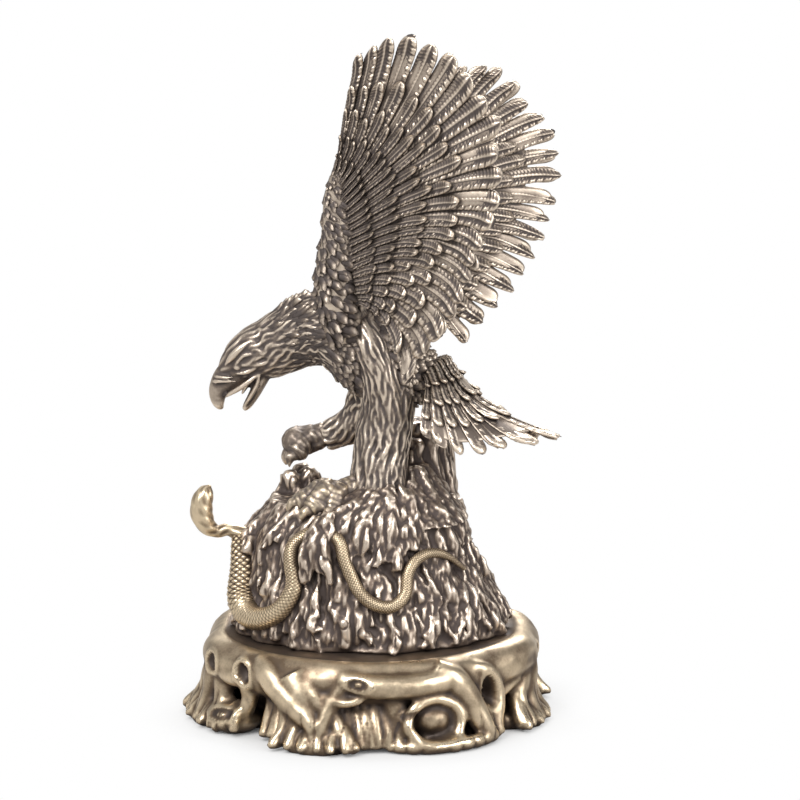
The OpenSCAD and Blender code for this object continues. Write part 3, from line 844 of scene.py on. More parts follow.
@dataclass(frozen=True)
class Row:
    """A row of long feathers on one face of a fan."""

    count: int
    start: float  # share of the fan at the roots
    ends: tuple  # share of the fan at the tips, from the first feather to the last
    lift: float  # height of the vanes over the sheet, in millimetres
    width: float = 1.0  # of the room that each feather has
    tip_width: float = 0.8
    along: int = 110
    across: int = 10
    nose: float = 0.14  # share of the length over which the tip closes
    camber: float = 0.05
    shaft: float = 0.24
    rope: float = 0.2  # height of the beaded edge
    barb: float = 0.034
    pitch: float = 0.85  # of the beads, in millimetres
    bead: float = 0.2  # swelling of the tip
    curl: float = 0.25
    thick: float = 0.16
    ragged: float = 0.035  # how much their lengths differ
    sides: tuple = (1,)

    def lay(self, draft: Draft, fan: Fan, seed: int) -> None:
        """Models every feather of the row.

        Args:
            draft: The mesh being laid up.
            fan: The sheet below.
            seed: Fixes the small accidents of each feather.
        """
        dice = np.random.default_rng(seed)
        for side in self.sides:
            for k in range(self.count):
                self._feather(draft, fan, (k + 0.5) / self.count, side, dice.uniform(-1, 1, 6))

    def _feather(self, draft: Draft, fan: Fan, a: float, side: int, luck: Array) -> None:
        """Models one feather.

        Args:
            draft: The mesh being laid up.
            fan: The sheet below.
            a: The feather's place across the fan.
            side: 1 on the fan's face, -1 on its back.
            luck: Six accidents from -1 to 1: length, drift, bend, its phase, the beads' phase, lift.
        """
        u = side * np.linspace(-1, 1, self.across + 1)[:, None]
        s = np.linspace(0, 1, self.along + 1)[None, :]
        end = float(spline(self.ends, a)) * (1 + self.ragged * luck[0])
        v = lerp(self.start, end, s)
        half = 0.5 / self.count
        taper = lerp(self.width, self.tip_width, step(s, 0.35, 0.95))
        nose = np.sqrt(np.clip(1 - ((s - 1) / self.nose + 1).clip(0, 1) ** 2.1, 0, 1)) * 0.985 + 0.015
        drift = half * (0.30 * luck[1] * s + 0.12 * luck[2] * np.sin(5 * s + 3 * luck[3]))
        place = a + drift + u * half * taper * nose
        here = fan.at(np.clip(place, 0, 1), v)
        over = np.clip(place, 0, 1) - place
        rim, nudge = (a > 0.5) * 0.992, 0.004  # a short way beside the fan's edge, drawn on past it
        edge = fan.at(np.array(nudge + rim), v[0]) - fan.at(np.array(rim), v[0])
        here = here - (over / nudge)[..., None] * edge[None]
        up = fan.normal(np.clip(place, 0.005, 0.995), v) * side
        root = fan.at(np.array(a), np.array(self.start))
        length = np.linalg.norm(fan.at(np.array(a), np.array(end)) - root)
        run = 2 * np.pi * (s * length / self.pitch + 0.5 * luck[4])
        fade = step(s, 0.02, 0.1) * (1 - step(s, 0.9, 0.99))
        edge_u = u * side
        swell = np.clip(0.5 + 0.9 * np.sin(run + 2.5 * edge_u), 0, 1)
        beads = bump(edge_u, 0.74, 0.24) * (0.35 + 0.65 * swell)
        barbs = np.sin(2.2 * run + 5 * np.abs(u)) * (1 - bump(u, 0, 0.3))
        height = self.camber * (1 - u**2) + self.shaft * bump(edge_u, -0.08, 0.13) * (1 - 0.35 * s)
        height = height + (self.rope * beads + self.barb * barbs) * fade
        height = height + self.bead * bump(s, 0.94, 0.07) * (1 - 0.7 * u**2)
        tilt = 0.10 * u * side * self.width
        rise = self.lift + tilt + self.curl * step(s, 0.6, 1) ** 2 * (1 + 0.6 * luck[5])
        rise = rise + 0.04 * luck[5] + 0.12 * self.lift * (s - 0.5)
        sink = (1 - step(s, 0, 0.12)) * 0.12
        front = here + up * (rise + height - sink)[..., None]
        back = here + up * (rise - sink - self.thick * (1 - 0.35 * u**2))[..., None]
        draft.shell(front, back)


def sheet(draft: Draft, fan: Fan, reach: Sequence[float], thick: float) -> None:
    """A thin membrane that closes a fan behind its feathers.

    Args:
        draft: The mesh being laid up.
        fan: The fan.
        reach: How far it goes along the feathers, from the first to the last.
        thick: Its thickness.
    """
    a = np.linspace(0.01, 0.99, 60)[:, None]
    v = np.linspace(0, 1, 40)[None, :] * spline(reach, a)
    here, up = fan.at(a, v), fan.normal(np.clip(a, 0.01, 0.99), v)
    draft.shell(here + up * thick / 2, here - up * thick / 2)


@dataclass
class Arm:
    """A wing's arm: a limb under overlapping small coverts."""

    knots: tuple
    girth: tuple
    perch: float
    face: Array  # the way the wing looks

    def rings(self) -> Array:
        """The bare limb."""
        slim = [[a * 0.86, b * 0.86] for a, b in self.girth]
        return limb(self.knots, slim, 40, 90, self.face) + self.perch * Z_UP

    def coverts(self, rows: int, round_about: int) -> tuple[Array, Array, Array, Array]:
        """Where the small coverts lie.

        Args:
            rows: Rows along the arm.
            round_about: Coverts in a row.

        Returns:
            Points, outward ways, ways to lie, and sizes.
        """
        points, out, lie, size = [], [], [], []
        for k in range(rows):
            t = np.full(round_about, (k + 0.5) / rows * 0.96)
            q = (np.arange(round_about) + 0.5 * (k % 2)) / round_about * 2 * np.pi
            t = t + 0.012 * np.sin(7 * q + 3 * k)
            q = q + 0.1 * np.sin(5 * k + 9 * q)
            c, a, b, along = frames(self.knots, t, np.asarray(self.face, float))
            r = spline(self.girth, t) * 0.84
            outward = a * (r[:, :1] * np.cos(q)[:, None]) + b * (r[:, 1:] * np.sin(q)[:, None])
            points.append(c + outward + self.perch * Z_UP)
            out.append(unit(a * (np.cos(q)[:, None] / r[:, :1]) + b * (np.sin(q)[:, None] / r[:, 1:])))
            lie.append(unit(-along * 0.45 - a * 0.9 + 0 * b))
            wide = np.clip(2 * np.pi * r.mean(1) / round_about * 1.25, 0.4, 1.15)
            wide = wide * (1 + 0.2 * np.sin(13 * q + 7 * k))
            size.append(np.stack([wide, wide * 1.5, wide], -1))
        return tuple(np.concatenate(x) for x in (points, out, lie, size))


@dataclass
class Wing:
    """One raised wing: flight feathers, three rows of coverts and a scaly arm."""

    name: str
    fan: Fan
    arm: Arm
    seed: int
    lengths: tuple  # how far each row of coverts reaches, as shares of the fan
    tip: float = 0.98  # width of the flight feathers near their tips
    nose: float = 0.17  # share of their length over which they close

    def build(self) -> None:
        """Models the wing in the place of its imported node."""
        flight = Draft()
        primaries = Row(21, 0.34, (1.0, 1.0, 1.0), 0.06, 1.16, self.tip, along=140, curl=0.35, nose=self.nose)
        primaries.lay(flight, self.fan, self.seed)
        sheet(flight, self.fan, (0.8, 0.8, 0.8), 0.06)
        mount(marked(flight.mesh(self.name + "_flight")), Finish.FEATHER, "eagle_bronze", self.name)
        covering, under = Draft(), Draft()
        quill = Row(21, 0.34, (0.98, 0.98, 0.98), 0.02, 1.0, 0.74, along=70, across=5, curl=-0.2, sides=(-1,))
        quill.lay(under, self.fan, self.seed + 5)
        for k, reach in enumerate(self.lengths):
            row = Row(
                (19, 21, 22, 21)[k], (0.2, 0.08, 0.02, 0.0)[k], reach, (0.2, 0.36, 0.54, 0.74)[k], 1.0, 0.82,
                along=(90, 60, 44, 30)[k], across=8, nose=(0.2, 0.25, 0.3, 0.35)[k], pitch=0.7,
                curl=(0.35, 0.3, 0.25, 0.2)[k], bead=0.2, ragged=0.09,
            )  # fmt: skip
            row.lay(covering, self.fan, self.seed + 11 * k)
            back = replace(row, along=row.along * 3 // 5, across=5, sides=(-1,))
            back.lay(under, self.fan, self.seed + 11 * k + 3)
        mount(marked(covering.mesh(self.name + "_coverts")), Finish.FEATHER, "eagle_bronze")
        mount(marked(under.mesh(self.name + "_underside")), Finish.FEATHER, "eagle_bronze")
        bare = Draft()
        bare.tube(self.arm.rings())
        arm = marked(bare.mesh(self.name + "_arm"))
        mount(arm, Finish.PLUMAGE, "eagle_bronze")
        coat = Coat(self.name + "_scales", *self.arm.coverts(34, 16))
        scales = coat.lay(leaf("covert", 4, 4, 0.2, 0.3, 0.06), Finish.PLUMAGE, self.seed)
        mount(scales, Finish.PLUMAGE, "eagle_bronze")


def marked(piece: bpy.types.Object, scale: float = 0.075) -> bpy.types.Object:
    """The piece, once its hollows are marked."""
    mark_hollows(piece, scale)
    return piece


# ---------------------------------------------------------------- the eagle


@dataclass
class EagleBody:
    """Head, neck, breast and feathered legs."""

    perch: float
    spine: tuple = (
        (6.3, -0.4, 11.4), (3.2, -0.8, 12.2), (0.4, -0.8, 14), (-2.2, -0.2, 15.9), (-4.6, 0.7, 16),
        (-6.8, 1.4, 15.2), (-9, 1.9, 14), (-11, 2, 13.3), (-12.6, 2, 12.2), (-13.6, 2, 11.4),
    )  # fmt: skip
    girth: tuple = (
        (2.1, 1.9), (3, 3.1), (3.6, 4.1), (3.7, 3.9), (3.3, 3.4), (2.9, 3.05),
        (2.5, 2.8), (2.15, 2.3), (1.65, 1.75), (1.1, 1.05),
    )  # fmt: skip
    leg: tuple = (
        (2.6, -0.6, 13.4), (2.2, -1.5, 11.3), (1.6, -2.4, 8), (1.1, -3.0, 4.5), (0.8, -3.4, 0.6),
        (0.8, -3.5, -2),
    )  # fmt: skip
    leg_girth: tuple = ((1.2, 1.2), (2.6, 2.1), (2.7, 2.5), (2.6, 2.5), (2.85, 2.7), (3.5, 3.0))
    flank: tuple = (
        (-1.4, -2.2, 18), (-0.1, -2.9, 15.6), (1.0, -3.0, 12.8), (1.5, -2.9, 9.6), (1.2, -3.0, 6.0)
    )  # fmt: skip
    flank_girth: tuple = ((1.2, 0.9), (2.2, 1.4), (2.6, 1.6), (2.4, 1.9), (2.0, 1.9))
    thigh: tuple = ((0.6, 1.6, 11.6), (0.0, 2.2, 8.8), (-1.5, 2.6, 6.5), (-4.1, 3.0, 5.1))
    thigh_girth: tuple = ((2.6, 2.4), (2.2, 2.0), (1.65, 1.5), (1.15, 1.1))

    def build(self) -> None:
        """Models the eagle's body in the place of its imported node."""
        wax = Draft()
        up = self.perch * Z_UP
        wax.tube(limb(self.spine, self.girth, 64, 120, relief=self._plumes) + up)
        for knots, girth, share, sides, lift in (
            (self.leg, self.leg_girth, 0.92, 60, (1, 0, 0)),
            (self.thigh, self.thigh_girth, 0.9, 60, (1, 0, 0.4)),
            (self.flank, self.flank_girth, 0.9, 48, (1, 0, 0)),
        ):
            slim = [(a * share, b * share) for a, b in girth]
            wax.tube(limb(knots, slim, sides, sides, lift) + up)
        dice = np.random.default_rng(12)
        self._locks(wax, self.flank, self.flank_girth, (1, 0, 0), 170, 0.3, dice)
        self._locks(wax, self.leg, self.leg_girth, (1, 0, 0), 340, 0.22, dice)
        self._locks(wax, self.thigh, self.thigh_girth, (1, 0, 0.4), 110, 0.3, dice)
        neck = spline(self.spine, np.linspace(0.9, 0.3, 9)), spline(self.girth, np.linspace(0.9, 0.3, 9))
        self._locks(wax, neck[0], neck[1], (0, 0, 1), 300, 0.3, dice)
        self._head(wax)
        body = blended(wax, "eagle_body_cast", 0.125, 1)
        mark_hollows(body, 0.05)
        mount(body, Finish.PLUMAGE, "eagle_bronze", "eagle_body")
        neck = Coat("eagle_neck_feathers", *self._coat(0.34, 0.62, 12, 0.95, 2.2, 0.8))
        hackles = neck.lay(leaf("hackle", 4, 8, 0.9, 0.34, 0.14), Finish.PLUMAGE, 4)
        mount(hackles, Finish.PLUMAGE, "eagle_bronze")
        breast = Coat("eagle_breast_feathers", *self._coat(0.06, 0.38, 24, 0.85, 1.3, 0.5))
        scales = breast.lay(leaf("scale", 3, 5, 0.3, 0.3, 0.1), Finish.PLUMAGE, 5)
        mount(scales, Finish.PLUMAGE, "eagle_bronze")

    @staticmethod
    def _plumes(t: Array, q: Array) -> Array:
        """Shallow waves under the plumage."""
        return 0.06 * np.sin(9 * q + 5 * np.sin(9 * t)) - 0.1 + 0 * t

    def _locks(
        self,
        wax: Draft,
        spine: Sequence,
        girth: Sequence,
        lift: Sequence,
        count: int,
        long: float,
        dice: np.random.Generator,
    ) -> None:
        """Lays wavy locks down a leg or the neck.

        Args:
            wax: Where they go.
            spine: The limb's knots.
            girth: Its half widths.
            lift: Its upright.
            count: How many locks.
            long: Their length, as a share of the limb.
            dice: Their accidents.
        """
        for k in range(count):
            start = (k / count) * (1.02 - long * 0.6)
            q0 = 2 * np.pi * (k * GOLDEN % 1)
            s = np.linspace(0, 1, 7)
            t = start + s * long * dice.uniform(0.7, 1.15)
            swing, waves, phase = dice.uniform(0.05, 0.1), dice.uniform(0.8, 1.5), dice.uniform(0, 6)
            wave = swing * np.sin(2 * np.pi * s * waves + phase)
            q = q0 + wave + dice.uniform(-0.12, 0.12) * s
            c, a, b, _ = frames(spine, np.clip(t, 0, 1), np.asarray(lift, float))
            r = spline(girth, np.clip(t, 0, 1)) * 0.93 + (0.16 * np.sin(np.pi * s) - 0.1)[:, None]
            line = c + a * (r[:, :1] * np.cos(q)[:, None]) + b * (r[:, 1:] * np.sin(q)[:, None])
            wide = dice.uniform(0.17, 0.27)
            out = a[3] * math.cos(q0) + b[3] * math.sin(q0)
            shape = (0.5, 0.5), (1, 1), (1.05, 1.2), (1, 1.3), (0.8, 1.2), (0.35, 0.5)
            radii = [(across * wide, high * wide) for across, high in shape]
            wax.tube(limb(line + self.perch * Z_UP, radii, 8, 16, out))

    def _head(self, wax: Draft) -> None:
        """Adds brow, eyes, cere and open beak.

        Args:
            wax: Where they go.
        """
        up = self.perch * Z_UP

        def add(points: Sequence, radii: Sequence, sides: int = 24, steps: int = 24) -> None:
            """One limb in the head."""
            wax.tube(limb(points, radii, sides, steps, (0, 1, 0)) + up)

        y = 2.0
        hook = [(-12.2, 12.0), (-13.4, 10.95), (-14.12, 9.95), (-14.25, 9.05), (-14.08, 8.4), (-13.8, 8.05)]
        bill = [(1.45, 1.35), (1.35, 1.1), (0.98, 0.78), (0.74, 0.55), (0.5, 0.38), (0.2, 0.15)]
        add([(x, y, z) for x, z in hook], bill, 32, 40)
        jaw = [(-9.8, 11.8), (-10.25, 10.6), (-10.85, 9.4), (-11.5, 8.35), (-11.85, 7.95)]
        chin = [(0.85, 1.3), (0.62, 1.05), (0.52, 0.78), (0.4, 0.46), (0.2, 0.22)]
        add([(x, y, z) for x, z in jaw], chin, 24, 30)
        tongue = [(-11.2, y, 10.9), (-11.7, y, 10.0), (-12.0, y, 9.4)]
        add(tongue, [(0.3, 0.6), (0.2, 0.42), (0.08, 0.1)])
        for side in (-1, 1):
            for line, girth in self._ridges():
                add([(x, y + side * w, z) for x, w, z in line], [(g, g) for g in girth])
            wax.tube(ball((-12.3, y + side * 1.55, 12.35), (0.38, 0.3, 0.3), 20) + up)

    @staticmethod
    def _ridges() -> tuple:
        """Raised lines of one side of the head.

        Returns:
            For each line, its (x, half width, z) stations and its own half widths there.
        """
        lip = (
            (-10.35, 1.72, 11.75), (-11.2, 1.7, 11.05), (-12.1, 1.5, 10.35), (-13.0, 1.1, 9.75),
            (-13.5, 0.6, 9.3),
        )  # fmt: skip
        jaw = (-10.3, 1.72, 11.7), (-10.5, 1.45, 10.7), (-11.1, 1.05, 9.5), (-11.75, 0.5, 8.4)
        low_cere = (-14.75, 0.2, 10.75), (-14.35, 0.95, 10.85), (-13.4, 1.42, 10.95), (-12.4, 1.65, 11.0)
        high_cere = (-14.6, 0.2, 11.2), (-14.2, 1.0, 11.3), (-13.3, 1.5, 11.35), (-12.6, 1.65, 11.45)
        brow = (-13.5, 1.15, 12.5), (-12.85, 1.62, 13.3), (-12.0, 1.85, 14.2), (-11.0, 1.85, 15.0)
        cheek = (-12.5, 1.7, 11.7), (-11.4, 1.9, 11.95), (-10.4, 2.0, 12.6), (-9.6, 2.2, 13.3)
        return (
            (lip, (0.12, 0.24, 0.26, 0.22, 0.12)),
            (jaw, (0.14, 0.2, 0.2, 0.1)),
            (low_cere, (0.1, 0.14, 0.14, 0.04)),
            (high_cere, (0.1, 0.13, 0.12, 0.04)),
            (brow, (0.08, 0.36, 0.34, 0.08)),
            (cheek, (0.08, 0.2, 0.2, 0.06)),
        )

    def _coat(self, low: float, high: float, rows: int, wide: float, long: float, tall: float) -> tuple:
        """Where the plumage lies between two shares of the spine.

        Args:
            low: Share of the spine nearest the tail.
            high: Share nearest the head.
            rows: Rows between them.
            wide: Width of the forms at the low end, in millimetres.
            long: Their length there.
            tall: Their height there.

        Returns:
            Points, outward ways, ways to lie, and sizes.
        """
        points, out, lie, size = [], [], [], []
        for k in range(rows):
            t0 = lerp(high, low, (k + 0.5) / rows)
            small = lerp(1.0, 0.62, step(np.array(t0), 0.5, 0.85))
            r0 = spline(self.girth, np.array(t0))
            n = int(2 * math.pi * r0.mean() / (wide * small * 0.8))
            q = (np.arange(n) + 0.5 * (k % 2)) / n * 2 * np.pi
            t = t0 + 0.012 * np.sin(3 * q + k) + 0.006 * np.sin(11 * q + 5 * k)
            c, a, b, along = frames(self.spine, t, Z_UP)
            r = spline(self.girth, t) - 0.1
            outward = c + a * (r[:, :1] * np.cos(q)[:, None]) + b * (r[:, 1:] * np.sin(q)[:, None])
            points.append(outward + self.perch * Z_UP)
            out.append(unit(a * (np.cos(q)[:, None] / r[:, :1]) + b * (np.sin(q)[:, None] / r[:, 1:])))
            lie.append(-along)
            size.append(np.tile([wide * small, long * small, tall * small * 1.2], (n, 1)))
        return tuple(np.concatenate(x) for x in (points, out, lie, size))


@dataclass(frozen=True)
class Toe:
    """A knuckled toe that ends in a claw."""

    start: tuple
    way: float  # direction in the plane, in degrees
    long: float
    thick: float
    drop: float  # how far it comes down from its root
    claw: float = 1.0

    def model(self, wax: Draft) -> None:
        """Adds the toe.

        Args:
            wax: Where it goes.
        """
        d = heading(self.way)
        start = np.array(self.start, float)
        arch = [(0, 0), (0.22, 0.22), (0.5, 0.12), (0.75, -0.45), (1.0, -0.8)]
        knots = [start + d * (self.long * s) + Z_UP * (h * self.drop) for s, h in arch]
        girth = [(self.thick, self.thick * 0.95)] * 4 + [(self.thick * 0.8, self.thick * 0.8)]
        wax.tube(limb(knots, girth, 32, 70, relief=self._scutes))
        end = knots[-1]
        hook = [
            end - d * 0.3 + Z_UP * 0.1,
            end + d * 0.5 * self.claw,
            end + d * 0.85 * self.claw - Z_UP * 0.55,
            end + d * 0.8 * self.claw - Z_UP * 1.1,
        ]
        wax.tube(limb(hook, [(0.55, 0.6), (0.5, 0.55), (0.3, 0.32), (0.06, 0.06)], 20, 24, (d[1], -d[0], 0)))

    def _scutes(self, t: Array, q: Array) -> Array:
        """Cross folds and knuckles."""
        folds = 0.09 * np.abs(np.sin(np.pi * 9 * t)) ** 0.6 * (0.3 + 0.7 * np.clip(np.sin(q), 0, 1))
        return self.thick * (0.16 * bump(t, 0.35, 0.13) + 0.14 * bump(t, 0.78, 0.12)) + folds - 0.1


@dataclass
class Foot:
    """One foot on the crag."""

    name: str
    toes: tuple
    shank: tuple
    shank_girth: tuple
    perch: float
    finish: Finish = Finish.CLAW

    def build(self) -> None:
        """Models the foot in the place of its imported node."""
        wax = Draft()
        up = self.perch * Z_UP
        for toe in self.toes:
            part = Draft()
            toe.model(part)
            wax.take(part, up)
        wax.tube(limb(self.shank, self.shank_girth, 40, 50, (1, 0.2, 0), self._scales) + up)
        wide, high = self.shank_girth[-1]
        wax.tube(ball(self.shank[-1], (1.05 * wide, 1.05 * wide, 1.05 * high), 32) + up)
        foot = blended(wax, self.name + "_cast", 0.085, 1)
        points = read_points(foot.data)
        write_points(foot.data, points + read_normals(foot.data) * (0.14 * cloud(points, 0.9, 2, 5))[:, None])
        mark_hollows(foot, 0.08)
        mount(foot, self.finish, "claw_bronze", self.name)

    @staticmethod
    def _scales(t: Array, q: Array) -> Array:
        """Scutes round the shank."""
        rows = np.abs(np.sin(np.pi * (8 * t + 0.5 * np.sin(2 * q)))) ** 0.6
        return 0.10 * rows * np.abs(np.sin(2.5 * q)) ** 0.4 - 0.05


# ---------------------------------------------------------------- crag, snake and stand


def polar(r: Array, q: Array, z: Array) -> Array:
    """Points from distance, direction in degrees and height."""
    r, q, z = np.broadcast_arrays(r, np.radians(q), z)
    return np.stack([r * np.cos(q), r * np.sin(q), z], -1)


@dataclass(frozen=True)
class CragForm:
    """The plain shape that the crag's splinters and the snake follow."""

    foot: float  # height of the stand's top
    ledge: float  # height of the ledge over it
    half: float = 12.9
    profile: tuple = (
        (0, 1, 0.82), (-0.02, 0.95, 0.78), (-0.05, 0.87, 0.72), (-0.09, 0.81, 0.66), (-0.02, 0.7, 0.57)
    )  # fmt: skip

    def at(self, q: Array, f: Array, out: Array = 0.0) -> Array:
        """Points of the side.

        Args:
            q: Direction, in degrees.
            f: Share of the ledge's height.
            out: Distance outside the side.

        Returns:
            One point for each pair.
        """
        q, f, out = np.broadcast_arrays(np.asarray(q, float), np.asarray(f, float), np.asarray(out, float))
        s = spline(self.profile, f) * self.half
        x = s[..., 0] + (s[..., 1] + out) * np.cos(np.radians(q))
        y = (s[..., 2] + out) * np.sin(np.radians(q))
        return np.stack([x, y, self.foot + f * self.ledge], -1)


@dataclass
class Crag:
    """A steep crag, splintered like old wood, with a peak and an outcrop on its ledge."""

    form: CragForm
    peak: float  # height of its top
    seed: int = 21

    def build(self) -> None:
        """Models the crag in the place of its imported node."""
        wax = Draft()
        f = np.linspace(0, 1, 60)[:, None]
        q = np.linspace(0, 360, 240, endpoint=False)[None, :]
        wax.tube(self.form.at(q, f, self._furrows(q, f)))
        ledge = self.form.foot + self.form.ledge
        z = np.linspace(ledge - 1.5, self.peak, 30)[:, None]
        g = (z - ledge) / (self.peak - ledge)
        ripple = 0.4 * np.abs(np.sin(np.radians(q * 6.5 + 40 * np.sin(3 * g)))) - 0.25
        dome = 1 - 0.45 * step(g, 0.72, 1.0)
        top = np.stack(
            [
                3.4 + (4.55 - 0.75 * g + ripple) * dome * np.cos(np.radians(q)),
                2.2 + (4.15 - 0.65 * g + ripple) * dome * np.sin(np.radians(q)),
                z + 0 * q,
            ],
            -1,
        )
        wax.tube(top)
        for x, y, tall in ((-7.2, 2.4, 2.0), (-5.6, 2.9, 2.2), (-6.4, 4.0, 2.3)):
            knob = [
                (x + 0.3, y + 0.2, ledge - 1.0), (x + 0.1, y, ledge + 0.4),
                (x - 0.1, y - 0.1, ledge + tall * 0.75), (x, y, ledge + tall),
            ]  # fmt: skip
            wax.tube(limb(knob, [(1.3, 1.3), (1.15, 1.1), (0.95, 0.9), (0.3, 0.3)], 24, 24, (1, 0, 0)))
        g = np.linspace(0, 1, 24)[:, None]
        s = 1 - 0.55 * g
        ripple = 0.35 * np.abs(np.sin(np.radians(q * 5.5 + 30 * g))) - 0.2
        wax.tube(
            np.stack(
                [
                    5.2 - 1.4 * g + (3.9 * s + ripple) * np.cos(np.radians(q)),
                    -2.6 + 1.6 * g + (4.2 * s + ripple) * np.sin(np.radians(q)),
                    ledge - 1.5 + 5.1 * g + 0 * q,
                ],
                -1,
            )
        )
        dice = np.random.default_rng(self.seed)
        self._splinters(wax, dice)
        self._ribs(wax, dice)
        self._rim(wax, dice)
        self._outcrop(wax, dice)
        self._peak(wax, dice)
        rock = blended(wax, "crag_cast", 0.17, 1)
        self._weather(rock)
        mark_hollows(rock, 0.08)
        mount(rock, Finish.CRAG, "crag_bronze", "crag")

    @staticmethod
    def _furrows(q: Array, f: Array) -> Array:
        """Upright furrows."""
        turn = 15 * (q / 360 + 0.03 * np.sin(5.5 * f + np.radians(2 * q)))
        return 0.75 * (np.abs(np.sin(np.pi * turn)) ** 0.8) - 0.6 - 0.15 * step(f, 0.85, 1)

    def _splinters(self, wax: Draft, dice: np.random.Generator) -> None:
        """Adds tapering splinters that lean on the crag, longest at its foot.

        Args:
            wax: Where they go.
            dice: Their accidents.
        """
        for k in range(210):
            q = 360 * (k * GOLDEN % 1)
            low = dice.uniform(-0.02, 0.78) if k % 3 else dice.uniform(0.0, 0.12)
            long = dice.uniform(0.18, 0.5)
            wide = dice.uniform(0.26, 0.55) if k % 4 else dice.uniform(0.6, 0.95)
            out = dice.uniform(-0.2, 0.35)
            t = np.linspace(0, 1, 5)
            sway = dice.uniform(-7, 7)
            turn = q + sway * t + 2 * np.sin(5 * t + k)
            line = self.form.at(turn, low + long * t, out - 0.75 * t - 0.2 * (1 - t))
            keep = line[:, 2] < self.form.foot + self.form.ledge + 0.5
            if keep.sum() < 4:
                continue
            shape = (0.55, 1), (0.7, 1.1), (0.65, 1), (0.45, 0.8)
            radii = [(wide * thick, wide * across) for thick, across in shape] + [(0.1, 0.2)]
            wax.tube(limb(line, radii, 9, 12, heading(q), self._chips(k)))

    def _ribs(self, wax: Draft, dice: np.random.Generator) -> None:
        """Adds the ribs that cross over the snake.

        Args:
            wax: Where they go.
            dice: Their accidents.
        """
        girth = [(0.2, 0.25), (0.42, 0.5), (0.5, 0.55), (0.4, 0.5), (0.15, 0.2)]
        for k in range(9):
            q = 243 + 1.5 * k
            t = np.linspace(0, 1, 5)
            height = dice.uniform(0.5, 0.62) + 0.42 * t
            line = self.form.at(q + 1.5 * np.sin(3 * t + k), height, 1.0 - 0.7 * np.abs(t - 0.6))
            wax.tube(limb(line, girth, 9, 16, (-0.4, -0.9, 0), self._chips(k)))

    def _rim(self, wax: Draft, dice: np.random.Generator) -> None:
        """Adds chips that break the ledge's rim and climb towards the leg.

        Args:
            wax: Where they go.
            dice: Their accidents.
        """
        for k in range(64):
            q = dice.uniform(232, 352)
            low = self.form.at(q, dice.uniform(0.62, 0.86), 0.0)
            middle = np.array([1.4, -2.2, self.form.foot + self.form.ledge + dice.uniform(0.6, 2.6)])
            high = middle + np.array([2.6, 3.6, 0.0]) * heading(q)
            t = np.linspace(0, 1, 5)[:, None]
            sway = np.sin(5 * t + k) * np.array([0.22, 0.1, 0.0])
            arch = 4 * t * (1 - t) * (0.35 * heading(q) + 0.25 * Z_UP)
            size = dice.uniform(0.3, 0.6)
            thick = (size, size * 1.1)
            girth = [(0.3, 0.4), thick, thick, (size * 0.8, size * 0.9), (0.15, 0.2)]
            line = low + (high - low) * t + sway + arch
            wax.tube(limb(line, girth, 9, 14, heading(q, 0.3), self._chips(k)))

    def _outcrop(self, wax: Draft, dice: np.random.Generator) -> None:
        """Adds chips round the outcrop on the ledge.

        Args:
            wax: Where they go.
            dice: Their accidents.
        """
        ledge = self.form.foot + self.form.ledge
        girth = [(0.35, 0.5), (0.4, 0.55), (0.32, 0.45), (0.1, 0.15)]
        for k in range(26):
            q = 2 * np.pi * (k * GOLDEN % 1)
            base = np.array([-6.2 + 2.2 * math.cos(q), 3.2 + 2.1 * math.sin(q), ledge - 0.8])
            tall = dice.uniform(0.9, 2.2)
            lean = np.array([-math.cos(q), -math.sin(q), 0.0]) * dice.uniform(0.3, 0.8)
            line = [base + lean * s + Z_UP * tall * s for s in (0, 0.33, 0.66, 1)]
            wax.tube(limb(line, girth, 9, 10, (math.cos(q), math.sin(q), 0)))

    def _peak(self, wax: Draft, dice: np.random.Generator) -> None:
        """Adds splinters that stand against the peak.

        Args:
            wax: Where they go.
            dice: Their accidents.
        """
        ledge = self.form.foot + self.form.ledge
        girth = [(0.3, 0.45), (0.4, 0.55), (0.3, 0.4), (0.08, 0.1)]
        for _ in range(70):
            q = dice.uniform(0, 2 * np.pi)
            base = np.array([3.4 + 4.7 * math.cos(q), 2.2 + 4.3 * math.sin(q), ledge - dice.uniform(0, 3.4)])
            tall = dice.uniform(2.5, 6.5)
            inward = np.array([-math.cos(q), -math.sin(q), 0.0])
            line = [base + inward * (0.4 * s) + Z_UP * tall * s for s in (0, 0.33, 0.66, 1)]
            if line[-1][2] > self.peak - 0.1:
                continue
            wax.tube(limb(line, girth, 9, 10, (math.cos(q), math.sin(q), 0)))

    @staticmethod
    def _chips(k: int) -> Callable[[Array, Array], Array]:
        """Facets of one splinter."""
        return lambda t, q: 0.09 * np.sign(np.sin(3 * q + k)) * np.sin(9 * t + k) + 0 * t

    def _weather(self, rock: bpy.types.Object) -> None:
        """Breaks the blended skin into long chips.

        Args:
            rock: The blended crag.
        """
        points, normals = read_points(rock.data), read_normals(rock.data)
        side = 1 - np.abs(normals[:, 2]) ** 2
        stretched = points * np.array([1.0, 1.0, 0.3])
        chips = np.abs(cloud(stretched, 1.0, 3, 5)) - 0.3
        low = step(points[:, 2], self.form.foot + 0.15, self.form.foot + 0.9)
        points = points + normals * (0.42 * chips * (0.35 + 0.65 * side) * low)[:, None]
        write_points(rock.data, points)


